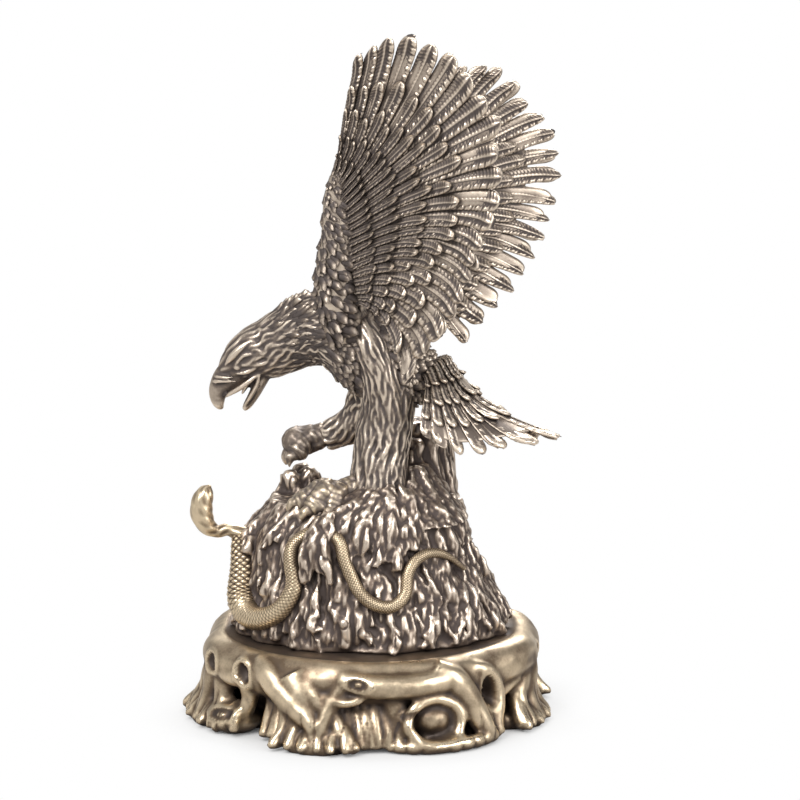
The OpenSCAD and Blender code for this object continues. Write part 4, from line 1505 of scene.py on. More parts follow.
@dataclass
class Snake:
    """The snake that winds over the crag and rears its head at the left."""

    form: CragForm
    route: tuple = (
        (190, 0.744), (194, 0.608), (198, 0.448), (202, 0.304), (209, 0.208), (219, 0.192), (230, 0.272),
        (237, 0.448), (237, 0.64), (238, 0.784), (245, 0.864), (254, 0.864), (262, 0.792), (265, 0.64),
        (268, 0.48), (274, 0.376), (282, 0.352), (289, 0.432), (293, 0.576), (300, 0.672), (309, 0.704),
        (319, 0.656), (327, 0.544),
    )  # fmt: skip
    girth: tuple = (0.9, 1.45, 1.65, 1.35, 1.05, 0.9, 0.82, 0.8, 0.76, 0.76, 0.72, 0.68, 0.55, 0.25)
    half: float = 0.8
    neck: tuple = (
        (0.3, 0, -0.3), (-1.2, 0, 0.35), (-2.4, -0.1, 0.25), (-3.3, -0.2, 0.8), (-3.8, -0.2, 1.9),
        (-3.75, -0.2, 3.1), (-3.35, -0.2, 4.1), (-3.0, -0.2, 4.7),
    )  # fmt: skip
    hood: tuple = (
        (0.95, 0.9), (0.6, 0.6), (0.62, 0.6), (0.95, 0.85), (1.12, 1.05), (1.05, 1.0), (0.8, 0.75),
        (0.12, 0.12),
    )  # fmt: skip

    def build(self) -> None:
        """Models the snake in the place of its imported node."""
        way = np.array(self.route, float)
        t = np.linspace(0, 1, 90)
        k = spline(way, t)
        line = self.form.at(k[:, 0], k[:, 1], 0.42)
        r = spline(self.girth, t) * self.half
        body = Draft()
        body.tube(limb(line, np.stack([r, r], -1), 48, 1000, (0.1, -0.6, 0.2), self._scales))
        start = line[0]
        neck = [start + np.array(p) for p in self.neck]
        body.tube(limb(neck, [(b, a) for a, b in self.hood], 40, 90, (0, 1, 0), self._hide))
        piece = body.mesh("snake_cast")
        mark_hollows(piece, 0.07)
        mount(piece, Finish.SNAKE, "snake_bronze", "snake")

    @staticmethod
    def _scales(t: Array, q: Array) -> Array:
        """Diamond scales, coarser on the thick body near the head.

        Args:
            t: Share along the body, 0 at the head.
            q: Turn round it, in radians.

        Returns:
            Height over the skin.
        """
        coarse = 1 - step(t, 0.12, 0.2)
        fine = np.abs(np.sin(5 * q + 2 * np.pi * 85 * t) * np.sin(5 * q - 2 * np.pi * 85 * t)) ** 0.5
        pebbles = np.abs(np.sin(4 * q + 2 * np.pi * 40 * t) * np.sin(4 * q - 2 * np.pi * 40 * t)) ** 0.6
        return 0.05 * fine * (1 - coarse) + 0.2 * pebbles * coarse - 0.05

    @staticmethod
    def _hide(t: Array, q: Array) -> Array:
        """Dents of the hood."""
        return 0.05 * np.sin(5 * q + 20 * t) * np.sin(23 * t) + 0 * t


@dataclass(frozen=True)
class Knot:
    """An oval knot, volute or slit pressed into the stand's face."""

    way: float  # direction, in degrees
    height: float
    half: tuple  # half width and half height, in millimetres
    lean: float  # its turn in the face, in degrees
    pit: float  # depth
    lip: float  # height of the ring round it
    eye: float = 0.0  # share of the pit that a ball fills

    def share(self, points: Array) -> Array:
        """How far each point is from the knot's middle, as a share of its half size.

        Args:
            points: Points of the stand's face.

        Returns:
            One number a point.
        """
        q = np.degrees(np.arctan2(points[:, 1], points[:, 0]))
        x = np.radians((q - self.way + 180) % 360 - 180) * FACE_RADIUS
        z = points[:, 2] - self.height
        c, s = math.cos(math.radians(self.lean)), math.sin(math.radians(self.lean))
        return np.hypot((x * c + z * s) / self.half[0], (z * c - x * s) / self.half[1])

    def press(self, points: Array) -> Array:
        """How far the knot moves each point outward.

        Args:
            points: Points of the stand's face.

        Returns:
            One distance a point, in millimetres.
        """
        d = self.share(points)
        ball = self.pit * 0.9 * (1 - step(d, self.eye * 0.6, self.eye)) if self.eye else 0
        return self.lip * bump(d, 1.12, 0.2) - self.pit * (1 - step(d, 0.5, 1.0)) + ball


@dataclass
class Stand:
    """A stand carved like a knot of roots round a polished shoulder."""

    top: float
    foot: float = 17.7
    count: int = 7
    knots: tuple = (
        Knot(266.5, 6.5, (1.1, 0.6), -6, 0.5, 0.3, 0.5),
        Knot(292.5, 2.75, (2.2, 1.75), 0, 0.9, 0.2, 0.86),
        Knot(283.5, 3.6, (0.85, 0.4), 25, 0.4, 0.25),
        Knot(316.5, 4.6, (0.8, 1.7), 14, 1.0, 0.15),
        Knot(205.0, 6.3, (1.0, 0.95), 0, 0.8, 0.35, 0.35),
        Knot(222.5, 6.2, (0.8, 1.15), 22, 1.0, 0.4),
        Knot(214.0, 1.9, (1.6, 0.6), 6, 0.45, 0.3, 0.45),
        Knot(352.0, 6.3, (0.9, 0.6), 10, 0.5, 0.3),
        Knot(22.0, 5.9, (1.2, 0.5), -12, 0.5, 0.3, 0.5),
        Knot(50.0, 3.2, (1.6, 1.4), 0, 1.1, 0.4, 0.6),
        Knot(98.0, 6.2, (1.2, 0.7), 8, 0.5, 0.35, 0.5),
        Knot(122.0, 4.2, (0.8, 1.4), -14, 0.8, 0.2),
        Knot(160.0, 6.1, (1.0, 0.9), 0, 0.7, 0.35, 0.35),
        Knot(168.0, 2.4, (1.7, 1.3), 0, 1.0, 0.4, 0.6),
    )

    def way(self, s: Any) -> Any:
        """Direction in degrees of leg s, or of a place between two legs."""
        q = 188 + 360 / self.count * np.asarray(s, float)
        return q + 12 * np.cos(np.radians(q - 235))

    def build(self) -> None:
        """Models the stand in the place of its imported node."""
        wax = Draft()
        wax.tube(self._plate())
        wax.tube(self._core())
        for k in range(self.count):
            if k != 2:
                self._leg(wax, k)
            if k not in (0, 1):
                self._between(wax, k)
        self._front(wax)
        self._left(wax)
        piece = blended(wax, "stand_cast", 0.21, 2)
        self._finish(piece)
        mark_hollows(piece, 0.16)
        self._patina_and_shade(piece)
        mount(piece, Finish.STAND, "stand_bronze", "stand")

    def _plate(self) -> Array:
        """The lobed plate with its rolled rim, a little dished.

        Returns:
            Its rings.
        """
        profile = [
            (11.2, 3.3), (13.0, 3.6), (14.4, 4.4), (15.35, 5.3), (15.75, 6.2), (15.65, 7.1),
            (15.1, 7.95), (14.4, 8.3), (13.7, 8.24), (12.9, 8.0), (6.0, 7.98),
        ]  # fmt: skip
        s = np.linspace(0, self.count, 480, endpoint=False)[None, :]
        rows = spline(profile, np.linspace(0, 1, 66))
        r, z = rows[:, :1], rows[:, 1:]
        rim = step(r, 12.0, 15.0)
        lobe = 0.5 + 0.5 * np.cos(2 * np.pi * s)
        q = self.way(s)
        lobes = (
            (208, 14, 0.5), (226, 8, 0.35), (252, 16, -0.5), (300, 18, -0.25), (345, 20, 0.55), (20, 14, 0.2)
        )  # fmt: skip
        wave = 0.4 * np.sin(np.radians(7 * q + 60)) * step(np.cos(np.radians(q - 90)), -0.4, 0.2)
        for way, half, out in lobes:
            wave = wave + out * bump((q - way + 180) % 360 - 180, 0, half)
        reach = np.minimum(r + rim * (0.5 * (lobe - 0.6) + wave), 16.3)
        droop = rim * (0.35 * (1 - lobe) + 0.3 * (0.5 - wave))
        height = z * self.top / 8 - np.clip(droop, 0, 0.7) * step(r, 12.6, 15.2)
        return polar(reach, q, np.minimum(height, self.top + 0.3))

    def _core(self) -> Array:
        """The body behind the roots, broad on a leg and drawn in between.

        Returns:
            Its rings.
        """
        rows = [
            (0.05, 11.5, 16.6, 0.9), (0.8, 11.7, 17.1, 0.85), (1.8, 11.2, 16.1, 1.1), (3.0, 10.9, 13.5, 1.5),
            (4.9, 11.9, 14.0, 1.2), (6.2, 12.0, 14.0, 1.0),
        ]  # fmt: skip
        rows = spline(rows, np.linspace(0, 1, 40))
        s = np.linspace(0, self.count, 360, endpoint=False)[None, :]
        leg = (0.5 + 0.5 * np.cos(2 * np.pi * s)) ** rows[:, 3:]
        return polar(lerp(rows[:, 1:2], rows[:, 2:3], leg), self.way(s), rows[:, :1])

    @staticmethod
    def _strand(wax: Draft, line: Sequence, radii: Sequence, sides: int = 20, steps: int = 40) -> None:
        """A root over the stand's face.

        Args:
            wax: Where it goes.
            line: Its (direction in degrees, distance from the middle, height) stations.
            radii: Its half widths there.
            sides: Points in a ring.
            steps: Rings, less one.
        """
        knots = [polar(np.array(float(r)), q, np.array(float(z))) for q, r, z in line]
        q = math.radians(line[len(line) // 2][0])
        wax.tube(limb(knots, [(a, a) for a in radii], sides, steps, (math.cos(q), math.sin(q), 0.01)))

    def _root(self, wax: Draft, line: Sequence, radii: Sequence, sides: int = 20, steps: int = 40) -> None:
        """A root through (leg number, distance from the middle, height) stations."""
        self._strand(wax, [(float(self.way(s)), r, z) for s, r, z in line], radii, sides, steps)

    def _leg(self, wax: Draft, k: int) -> None:
        """One spreading leg, bent to one side, with toes.

        Args:
            wax: Where it goes.
            k: The leg's number.
        """
        bend = (0.05, -0.1, 0.0, 0.1, -0.12, 0.1, -0.08)[k]
        for s, size in ((-0.13, 0.95), (0.02, 1.2), (0.16, 0.9)):
            line = [
                (k + s * 0.5 + 2 * bend, 14.3, 6.4), (k + s * 0.75 + 1.2 * bend, 14.95, 4.7),
                (k + s * 1.1 + 0.4 * bend, 15.3, 2.8), (k + s * 1.6, 16.3, 1.1), (k + s * 1.9, 17.0, 0.55),
            ]  # fmt: skip
            self._root(wax, line, [1.5 * size, 1.25 * size, 1.05 * size, 0.8 * size, 0.5 * size])
        for j in range(6):
            s = (j - 2.5) * 0.08
            out = 17.3 - 2.2 * s * s - 0.25 * (j % 2)
            line = [
                (k + s * 0.7, 14.9, 3.4 - 0.3 * (j % 2)), (k + s, 16.1, 1.8 + 0.15 * (j % 2)),
                (k + s * 1.15, out, 0.7), (k + s * 1.2, out + 0.1, 0.32),
            ]  # fmt: skip
            self._root(wax, line, [0.38, 0.5, 0.5, 0.32], 12, 20)
        flare = [(k - 0.22, 15.0, 0.45), (k - 0.1, 16.6, 0.35), (k + 0.1, 16.6, 0.35), (k + 0.22, 15.0, 0.45)]
        self._root(wax, flare, [0.55, 0.55, 0.55, 0.55], 12, 20)

    def _between(self, wax: Draft, k: int) -> None:
        """Roots and a volute that tie a leg to the next.

        Args:
            wax: Where they go.
            k: The first leg's number.
        """
        flip = 1 if k % 2 else -1
        line = [
            (k + 0.12, 15.1, 5.4), (k + 0.32, 14.6, 4.4), (k + 0.5, 14.1, 2.8), (k + 0.62, 14.2, 1.1),
            (k + 0.8, 14.8, 0.6),
        ]  # fmt: skip
        self._root(wax, line, [1.1, 0.9, 0.8, 0.85, 0.8])
        line = [(k + 0.9, 15.0, 4.9), (k + 0.7, 14.6, 3.6), (k + 0.55, 14.3, 1.8), (k + 0.42, 14.7, 0.55)]
        self._root(wax, line, [0.8, 0.65, 0.6, 0.8])
        turn = np.linspace(0, 4.6, 7)
        curl = []
        for a in turn:
            small = 1 - 0.13 * a
            curl.append((k + 0.5 + flip * 0.12 * math.cos(a) * small, 15.0, 5.0 + math.sin(a) * small))
        self._root(wax, curl, [0.55, 0.55, 0.52, 0.48, 0.44, 0.4, 0.35], 14, 40)
        for j in range(4):
            s = 0.3 + 0.12 * j
            line = [(k + s, 13.2, 3.6), (k + s + 0.02, 14.0, 1.8), (k + s, 15.0, 0.35)]
            self._root(wax, line, [0.35, 0.42, 0.5], 10, 14)

    def _front(self, wax: Draft) -> None:
        """The apron over the front, its folds, and the burl in its pad.

        Args:
            wax: Where they go.
        """
        self._strand(
            wax,
            [(226, 14.2, 7.0), (233, 14.9, 6.3), (240, 15.3, 5.0), (247, 15.7, 3.6), (253, 16.3, 2.2)],
            [1.2, 1.35, 1.35, 1.15, 0.8],
        )
        self._strand(
            wax,
            [(262, 14.8, 6.4), (257.5, 15.2, 4.6), (255, 15.8, 3.0), (253, 16.5, 1.4)],
            [0.8, 0.9, 0.8, 0.6],
        )
        self._strand(
            wax,
            [(252.5, 15.1, 5.5), (257, 15.6, 4.9), (262, 15.7, 4.7), (267, 15.55, 5.0), (269.5, 15.2, 5.5)],
            [0.25, 0.42, 0.45, 0.36, 0.2],
        )
        self._strand(
            wax,
            [(260, 14.6, 6.6), (270, 15.0, 6.2), (280, 15.2, 6.1), (290, 15.2, 6.2), (299, 15.0, 6.4)],
            [1.0, 1.15, 1.15, 1.2, 1.3],
        )
        for k in range(6):
            q = 259.5 + 3.4 * k
            line = [
                (q - 1.6, 14.2, 4.6 - 0.1 * k), (q - 0.4, 14.9, 3.0), (q + 0.6, 15.5, 1.5),
                (q + 1.2, 16.2 - 0.12 * k, 0.4),
            ]  # fmt: skip
            self._strand(wax, line, [0.3, 0.42, 0.48, 0.42], 12, 24)
        self._strand(
            wax,
            [(294, 14.4, 7.0), (301, 15.1, 6.2), (306, 15.6, 4.4), (309, 16.1, 2.5), (312, 16.6, 0.9)],
            [1.4, 1.4, 1.25, 1.15, 0.85],
        )
        q = np.linspace(0, 2 * np.pi, 17)
        ring = [
            (292.5 + 9.4 * math.cos(a), 15.65 + 0.45 * (1 - math.sin(a)), 2.8 + 2.05 * math.sin(a)) for a in q
        ]
        self._strand(wax, ring, [0.52] * 17, 14, 100)
        wax.tube(ball(polar(np.array(14.35), 293.5, np.array(2.8)), (2.15, 2.15, 1.8), 32))
        back = [(279, 14.2, 5.2), (280, 14.5, 3.6), (281, 14.9, 2.0), (280, 15.5, 0.6)]
        self._strand(wax, back, [1.1, 1.1, 1.1, 0.8])
        pad = [
            (277, 15.6, 0.55), (284, 16.5, 0.6), (293, 17.0, 0.65), (303, 17.1, 0.7), (312, 16.7, 0.7),
            (319, 15.6, 0.6),
        ]  # fmt: skip
        self._strand(wax, pad, [0.5, 0.6, 0.65, 0.65, 0.65, 0.5])
        fold = [(311, 14.5, 6.8), (317, 15.0, 6.3), (321.5, 15.2, 4.6), (321, 15.5, 2.6), (318, 15.9, 1.0)]
        self._strand(wax, fold, [0.9, 0.75, 0.65, 0.6, 0.6])
        for k in range(3):
            line = [(313 + 2.6 * k, 14.8, 3.8), (313.5 + 2.6 * k, 15.6, 2.0), (314 + 2.6 * k, 16.3, 0.5)]
            self._strand(wax, line, [0.4, 0.5, 0.45], 12, 20)

    def _left(self, wax: Draft) -> None:
        """The curled rim at the left and the leafy burl under it.

        Args:
            wax: Where they go.
        """
        curled = [(196, 14.3, 6.9), (204, 15.0, 6.2), (213, 15.2, 5.5), (222, 15.0, 5.9), (229, 14.4, 6.7)]
        self._strand(wax, curled, [1.0, 1.15, 1.0, 1.1, 1.0])
        for q, z, wide, tall in ((205, 6.3, 4.3, 1.05), (222.5, 6.1, 3.4, 1.25)):
            turn = np.linspace(0, 2 * np.pi, 13)
            ring = [(q + wide * math.cos(a), 15.45, z + tall * math.sin(a)) for a in turn]
            self._strand(wax, ring, [0.34] * 13, 12, 60)
        neck = [(222, 15.0, 5.0), (221, 14.6, 3.6), (219, 14.9, 2.0), (217, 15.6, 0.9)]
        self._strand(wax, neck, [0.9, 0.8, 0.8, 0.9])
        wax.tube(ball(polar(np.array(14.7), 213, np.array(1.3)), (2.4, 2.4, 1.5), 32))
        for k in range(4):
            line = [
                (207 + 4 * k, 14.6, 3.4 - 0.2 * k), (206 + 4.6 * k, 15.9, 2.1),
                (205 + 5 * k, 16.9 - 0.2 * k, 0.5),
            ]  # fmt: skip
            self._strand(wax, line, [0.3, 0.42, 0.4], 12, 24)
        for k in range(3):
            line = [(228 + 3 * k, 13.6, 4.0), (229 + 3 * k, 14.2, 2.0), (230 + 3.2 * k, 15.2, 0.45)]
            self._strand(wax, line, [0.4, 0.5, 0.5], 12, 20)

    def _finish(self, piece: bpy.types.Object) -> None:
        """Presses in the knots, cuts the toes' grooves and opens the underside.

        Args:
            piece: The blended stand.
        """
        points, normals = read_points(piece.data), read_normals(piece.data)
        low = 1 - step(points[:, 2], 2.2, 4.6)
        q = np.arctan2(points[:, 1], points[:, 0])
        r = np.hypot(points[:, 0], points[:, 1])
        side = np.clip(normals[:, 0] * np.cos(q) + normals[:, 1] * np.sin(q) + 0.3, 0, 1)
        pressed = sum(knot.press(points) for knot in self.knots) * step(r, 11.8, 13.2) * side
        bark = np.abs(np.sin(38 * q + 1.6 * cloud(points, 4.0, 2, 9))) ** 0.6 - 0.6
        dents = cloud(points, 1.6, 2, 4)
        points = points + normals * (0.16 * bark * low * side + 0.06 * dents * side)[:, None]
        points[:, 0] += pressed * np.cos(q)
        points[:, 1] += pressed * np.sin(q)
        eased = relax(points, read_edges(piece.data), 9)
        points = lerp(points, eased, np.clip(10 * np.abs(pressed), 0, 1)[:, None])
        inner = np.clip((11.0 - r) / 1.2, 0, 1) * (points[:, 2] < 1.0)
        ceiling = self.top - 2.2 - 1.15 * (1 - step(r, 4.3, 4.9))
        raised = lerp(points[:, 2], ceiling, np.minimum(inner * 1.6, 1))
        points[:, 2] = np.where(inner > 0, raised, points[:, 2])
        points[:, 2] = np.maximum(points[:, 2], 0.0)
        reach = np.hypot(points[:, 0], points[:, 1])
        points[:, :2] *= np.minimum(1, (self.foot + 0.2) / np.maximum(reach, 1e-6))[:, None]
        write_points(piece.data, points)

    def _patina_and_shade(self, piece: bpy.types.Object) -> None:
        """Darkens a ring of the plate round the crag's foot as patina and painted shade, the stand low
        between the roots as painted shade, and the knots' pits as patina.

        Args:
            piece: The finished stand, its hollows marked.
        """
        points = read_points(piece.data)
        r = np.hypot(points[:, 0], points[:, 1])
        layer = piece.data.attributes["hollow"]
        mark = np.empty(len(points), np.float32)
        layer.data.foreach_get("value", mark)
        # patina and painted shade on the plate where the crag stands on it
        ring = (1 - step(r, 12.6, 14.6)) * step(points[:, 2], self.top - 1.2, self.top - 0.4)
        # painted shade low between the roots, under the plate's rim
        low_shade = (1 - step(r, 13.4, 15.2)) * (1 - step(points[:, 2], 4.6, 6.0))
        drift = 0.25 * cloud(points, 2.6, 2, 31)
        pits = sum(1 - step(knot.share(points), 0.7, 1.0) for knot in self.knots) * step(r, 12, 13)
        mark = mark + 0.4 * ring + 0.45 * low_shade + 0.4 * np.clip(pits, 0, 1) + drift
        layer.data.foreach_set("value", np.clip(mark, -1, 1).astype(np.float32))


@dataclass
class Tail:
    """The spread tail, its feathers bent towards the front at their ends."""

    fan: Fan
    seed: int = 8

    def build(self) -> None:
        """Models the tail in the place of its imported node."""
        vanes = Draft()
        Row(13, 0.2, (0.97, 1.0, 0.97), 0.02, 1.04, 0.78, along=96, curl=0.1).lay(vanes, self.fan, self.seed)
        sheet(vanes, self.fan, (0.85, 0.87, 0.85), 0.12)
        quill = Row(13, 0.1, (0.97, 1.0, 0.97), 0.02, 1.0, 0.72, along=64, across=5, curl=0.0, sides=(-1,))
        quill.lay(vanes, self.fan, self.seed + 3)
        rows = (13, 0.05, (0.74, 0.7, 0.7)), (12, 0.0, (0.5, 0.46, 0.46)), (11, 0.0, (0.28, 0.26, 0.26))
        for k, (count, start, ends) in enumerate(rows):
            row = Row(count, start, ends, 0.2 + 0.2 * k, 1.0, 0.86, along=50, across=8, curl=0.2, bead=0.16)
            row.lay(vanes, self.fan, self.seed + 20 + k)
            replace(row, along=30, across=5, sides=(-1,)).lay(vanes, self.fan, self.seed + 40 + k)
        root = [(5.0, -0.3, 12.0), (6.8, -0.6, 11.6), (8.4, -1.0, 10.7), (10.2, -1.4, 9.4)]
        girth = [(1.9, 1.7), (1.7, 1.5), (1.3, 1.0), (0.5, 0.4)]
        vanes.tube(limb(root, girth, 24, 24) + self.fan.perch * Z_UP)
        mount(marked(vanes.mesh("tail_vanes")), Finish.FEATHER, "eagle_bronze", "tail")


# ---------------------------------------------------------------- studio


@dataclass(frozen=True)
class Lamp:
    """A soft lamp that looks at the statuette."""

    name: str
    place: tuple  # in millimetres
    size: float
    power: float
    colour: tuple = (1.0, 1.0, 1.0)

    def hang(self, target: Array) -> None:
        """Puts the lamp up.

        Args:
            target: Where it looks, in millimetres.
        """
        data = bpy.data.lights.new(self.name, "AREA")
        data.shape = "SQUARE"
        data.size = self.size * MM
        data.energy = self.power
        data.color = self.colour
        lamp = bpy.data.objects.new(self.name, data)
        bpy.context.scene.collection.objects.link(lamp)
        aim(lamp, np.array(self.place), target)


def aim(thing: bpy.types.Object, place: Array, target: Array) -> None:
    """Puts a lamp or the camera in its place.

    Args:
        thing: The lamp or the camera.
        place: Where it goes, in millimetres.
        target: Where it looks, in millimetres.
    """
    way = Vector(target * MM) - Vector(place * MM)
    thing.location = Vector(place * MM)
    thing.rotation_euler = way.to_track_quat("-Z", "Y").to_euler()


@dataclass
class Studio:
    """Floor, daylight, lamps and camera."""

    target: tuple = (2.9, 0.0, 29.8)
    distance: float = 420.0
    elevation: float = 12.0
    lens: float = 201.7

    def build(self) -> None:
        """Sets the studio up round the statuette."""
        self._floor()
        self._world()
        target = np.array(self.target)
        Lamp("key", (-160, -260, 300), 160, 1.6).hang(target)
        Lamp("fill", (260, -200, 160), 220, 0.7).hang(target)
        Lamp("rim", (60, 260, 260), 160, 1.0).hang(target)
        e = math.radians(self.elevation)
        place = target + self.distance * np.array([0, -math.cos(e), math.sin(e)])
        data = bpy.data.cameras.new("camera")
        data.lens = self.lens
        data.sensor_width = 36
        data.clip_start = 0.01
        camera = bpy.data.objects.new("camera", data)
        bpy.context.scene.collection.objects.link(camera)
        aim(camera, place, target)
        bpy.context.scene.camera = camera
        bpy.context.scene.view_settings.view_transform = "Standard"

    @staticmethod
    def _floor() -> None:
        """A white sweep with a faint painted shadow: where ambient occlusion finds it covered, the camera
        sees grey lit paper instead of white.
        """
        r = np.array([1.0, 900.0])[:, None]
        q = np.linspace(0, 360, 48, endpoint=False)[None, :]
        draft = Draft()
        draft.tube(np.stack([polar(r, q, np.array(-3.0))[1], polar(r, q, np.array(-0.02))[1]]))
        floor = draft.mesh("floor")
        material = bpy.data.materials.new("floor")
        material.use_nodes = True
        tree = NodeTree(material.node_tree)
        path = tree.add("ShaderNodeLightPath", output="Is Camera Ray")
        paper = tree.add("ShaderNodeBsdfDiffuse", {}, {"Color": (0.4, 0.39, 0.38, 1)})
        glow = tree.add("ShaderNodeEmission", {}, {"Color": (1, 1, 1, 1), "Strength": 1.0})
        # painted shadow: occlusion near the statuette shows the grey lit paper to the camera
        cover = tree.add("ShaderNodeAmbientOcclusion", {"samples": 8}, {"Distance": 6 * MM}, "AO")
        share = path * (cover**0.6).clamped()
        mixed = tree.add("ShaderNodeMixShader", {}, {0: share, 1: paper, 2: glow})
        tree.add("ShaderNodeOutputMaterial", {}, {"Surface": mixed})
        floor.data.materials.append(material)

    @staticmethod
    def _world() -> None:
        """White to the camera, a soft room with a dark side to everything else."""
        world = bpy.data.worlds.new("room")
        bpy.context.scene.world = world
        world.use_nodes = True
        tree = NodeTree(world.node_tree)
        path = tree.add("ShaderNodeLightPath", output="Is Camera Ray")
        way = tree.add("ShaderNodeTexCoord", output="Generated")
        bands = tree.add("ShaderNodeTexNoise", {}, {"Vector": way, "Scale": 2.2, "Detail": 1.0})
        room = tree.add(
            "ShaderNodeValToRGB",
            {"stops": [(0.0, (0.03, 0.03, 0.035)), (0.45, (0.16, 0.16, 0.17)), (0.55, (1.0, 0.99, 0.97))]},
            {"Fac": bands},
        )
        inside = tree.add("ShaderNodeBackground", {}, {"Color": room, "Strength": 0.85})
        white = tree.add("ShaderNodeBackground", {}, {"Color": (1, 1, 1, 1), "Strength": 1.0})
        mixed = tree.add("ShaderNodeMixShader", {}, {0: path, 1: inside, 2: white})
        tree.add("ShaderNodeOutputWorld", {}, {"Surface": mixed})


# ---------------------------------------------------------------- the whole


def steel() -> bpy.types.Material:
    """Zinc-plated steel for the screw, washer, studs and pins.

    Returns:
        A new material.
    """
    out = bpy.data.materials.new("plated_steel")
    out.use_nodes = True
    tree = NodeTree(out.node_tree)
    place = tree.add("ShaderNodeTexCoord", output="Object")
    grain = tree.noise(place, 0.15, 2.0)
    rough = (0.22 + 0.2 * grain).clamped()
    colour = (*linear(196, 198, 200), 1)
    shader = tree.add(
        "ShaderNodeBsdfPrincipled", {}, {"Base Color": colour, "Metallic": 1.0, "Roughness": rough}
    )
    tree.add("ShaderNodeOutputMaterial", {}, {"Surface": shader})
    return out


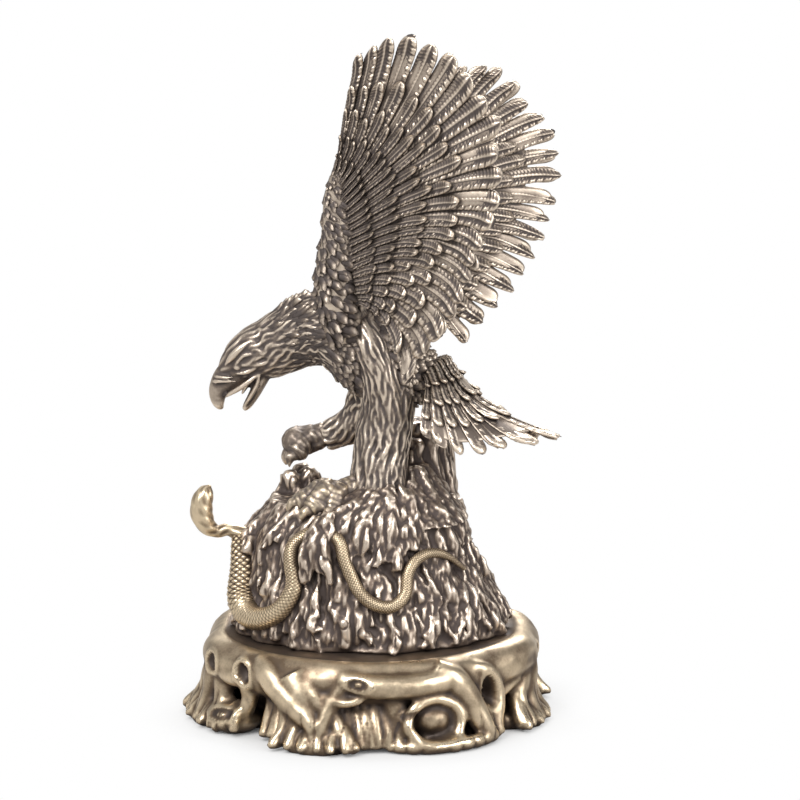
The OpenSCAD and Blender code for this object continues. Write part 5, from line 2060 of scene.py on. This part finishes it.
@dataclass
class Statuette:
    """The whole statuette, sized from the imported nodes."""

    stand_top: float
    perch: float
    peak: float

    @classmethod
    def measured(cls) -> "Statuette":
        """Reads the heights of the stand, ledge and peak from the frame."""
        crag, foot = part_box("crag"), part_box("left_foot")
        return cls(crag[0][2] / MM, foot[0][2] / MM, crag[1][2] / MM)

    def build(self) -> None:
        """Models every casting."""
        form = CragForm(self.stand_top, self.perch - self.stand_top)
        Stand(self.stand_top).build()
        Crag(form, self.peak).build()
        Snake(form).build()
        EagleBody(self.perch).build()
        for wing in self._wings():
            wing.build()
        Tail(self._tail_fan()).build()
        for foot in self._feet():
            foot.build()

    def _wings(self) -> tuple[Wing, Wing]:
        """The near and the far wing.

        Returns:
            Both, the near one first.
        """
        near = Fan(
            ((-2.8, -6.2, 32), (-2.4, -6.1, 29.7), (-2, -5.8, 26.5), (-1.4, -5.6, 23), (-0.4, -5.4, 19.8)),
            ((-2.3, -7.4, 37.5), (3.8, -10, 36.6), (5.8, -10.8, 32.1), (5.6, -10, 27), (2.6, -7.6, 18.6)),
            (
                (-1.2, -7.8, 42.4), (2.4, -9.6, 44.7), (7.4, -11.2, 43.7), (11.5, -12.4, 38.7),
                (12.2, -12.8, 32.7), (10.8, -12.3, 26.7), (9.3, -11.2, 22.1), (7, -9.6, 17.8),
                (3.2, -7.6, 12.2),
            ),
            self.perch,
        )  # fmt: skip
        far = Fan(
            ((0.6, 4.4, 31.5), (0.8, 4.5, 29), (1.1, 4.5, 26), (1.6, 4.4, 22.5), (2.8, 4.2, 18.8)),
            ((1.6, 5.4, 35), (7.6, 7.5, 34.5), (10.6, 9, 30.5), (9.6, 8.4, 25), (6.4, 6.2, 17.6)),
            (
                (3, 5.8, 37.6), (7.2, 7.3, 39.8), (12, 9, 39.6), (15.4, 10.8, 35.6), (18, 12.2, 30.9),
                (17.2, 12.2, 25.2), (15.2, 10.8, 20.8), (12.4, 8.6, 16.9), (8.4, 6, 12.9),
            ),
            self.perch,
        )  # fmt: skip
        near_arm = Arm(
            (
                (-1.8, -2, 15.5), (-2.8, -4, 19.2), (-3, -5, 22.8), (-2.7, -5.7, 26.2), (-2.8, -6.1, 29.4),
                (-2.2, -6.5, 33), (-1.4, -7.1, 37.5), (-1, -7.7, 42),
            ),
            (
                (2.4, 2.4), (2.2, 2.2), (2.1, 1.9), (1.85, 1.6), (1.45, 1.2), (0.9, 0.8), (0.5, 0.45),
                (0.3, 0.3),
            ),
            self.perch,
            (0.0, -1.0, 0.0),
        )  # fmt: skip
        far_arm = Arm(
            (
                (-1.9, 2, 15.5), (-1.3, 3.8, 18.8), (-0.9, 4.5, 22.5), (-0.4, 4.7, 26), (0, 4.8, 29),
                (0.8, 5, 32), (2, 5.5, 35.2), (3, 5.8, 37.3),
            ),
            ((2.3, 2.3), (2.1, 2.1), (1.9, 1.7), (1.7, 1.5), (1.3, 1.1), (0.8, 0.7), (0.45, 0.4), (0.3, 0.3)),
            self.perch,
            (0.0, -1.0, 0.0),
        )  # fmt: skip
        reach = (
            (0.72, 0.70, 0.72, 0.72, 0.74),
            (0.52, 0.50, 0.52, 0.50, 0.52),
            (0.34, 0.32, 0.33, 0.32, 0.34),
            (0.18, 0.18, 0.18, 0.18, 0.19),
        )
        return (
            Wing("left_wing", near, near_arm, 40, reach),
            Wing("right_wing", far, far_arm, 70, reach, 0.74, 0.4),
        )

    def _tail_fan(self) -> Fan:
        """The tail's sheet.

        Returns:
            The fan.
        """
        return Fan(
            (
                (5.6, -3, 12), (5.9, -2.4, 12.8), (6.4, -1.6, 13.3), (6.8, -0.5, 13.5), (6.6, 0.6, 13.2),
                (6, 1.5, 12.6), (5.6, 2, 11.8),
            ),
            (
                (5, -6, 10.4), (6.8, -6.4, 10), (8.2, -4.6, 9.4), (8.6, -1.8, 8.8), (9.2, 1, 8.8),
                (8, 3.4, 9.4), (6.6, 4.4, 9.8),
            ),
            (
                (4.5, -6.8, 7.4), (8, -7.9, 5.8), (12.2, -6.8, 6), (17.6, -3.2, 6.5), (15.8, 1.4, 5.6),
                (12, 4.4, 5.2), (8, 5.8, 5.8),
            ),
            self.perch,
        )  # fmt: skip

    def _feet(self) -> tuple[Foot, Foot]:
        """The standing foot and the clenched one.

        Returns:
            Both, the standing one first.
        """
        near = (
            Toe((-3.0, -4.1, 1.4), 160, 3.4, 0.95, 1.1),
            Toe((-3.0, -4.3, 1.4), 184, 3.6, 1.0, 1.2),
            Toe((-2.9, -4.6, 1.3), 211, 3.0, 1.08, 1.5),
        )
        far = tuple(
            Toe((-5.9, 3.0 - 0.3 * k, 4.25), 184 + 34 * k, 1.35 + 0.11 * k, 1.0, 0.85, 0.75)
            for k in (-1, 0, 1)
        )
        return (
            Foot(
                "left_foot",
                (*near, Toe((-2.6, -4.6, 1.3), 243, 1.9, 0.98, 1.5, 0.9)),
                ((0.2, -3.6, 2.2), (-1.2, -3.9, 2.0), (-2.3, -4.2, 1.5), (-3.1, -4.4, 1.1)),
                ((1.5, 1.3), (1.2, 1.2), (1.2, 1.1), (1.0, 0.9)),
                self.perch,
            ),
            Foot(
                "right_foot",
                far,
                ((-1.6, 2.6, 6.1), (-3.4, 2.8, 5.5), (-5.0, 3.0, 5.1), (-6.7, 3.2, 4.7)),
                ((0.8, 0.8), (1.0, 1.0), (1.2, 1.2), (1.5, 1.3)),
                self.perch,
                # painted shade: the far foot takes the darker plumage finish instead of the claw finish, as
                # it lies in the shade of the body
                Finish.PLUMAGE,
            ),
        )


def main() -> None:
    """Builds the statuette and its studio."""
    logging.basicConfig(level=logging.INFO)
    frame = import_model()
    metal = steel()
    for name in ("body_stud", "wing_dowels", "tail_dowel", "locating_pin", "stand_screw", "screw_washer"):
        node = frame["nodes"][name]
        node.data.materials.clear()
        node.data.materials.append(metal)
    Statuette.measured().build()
    Studio().build()


if __name__ == "__main__":
    main()
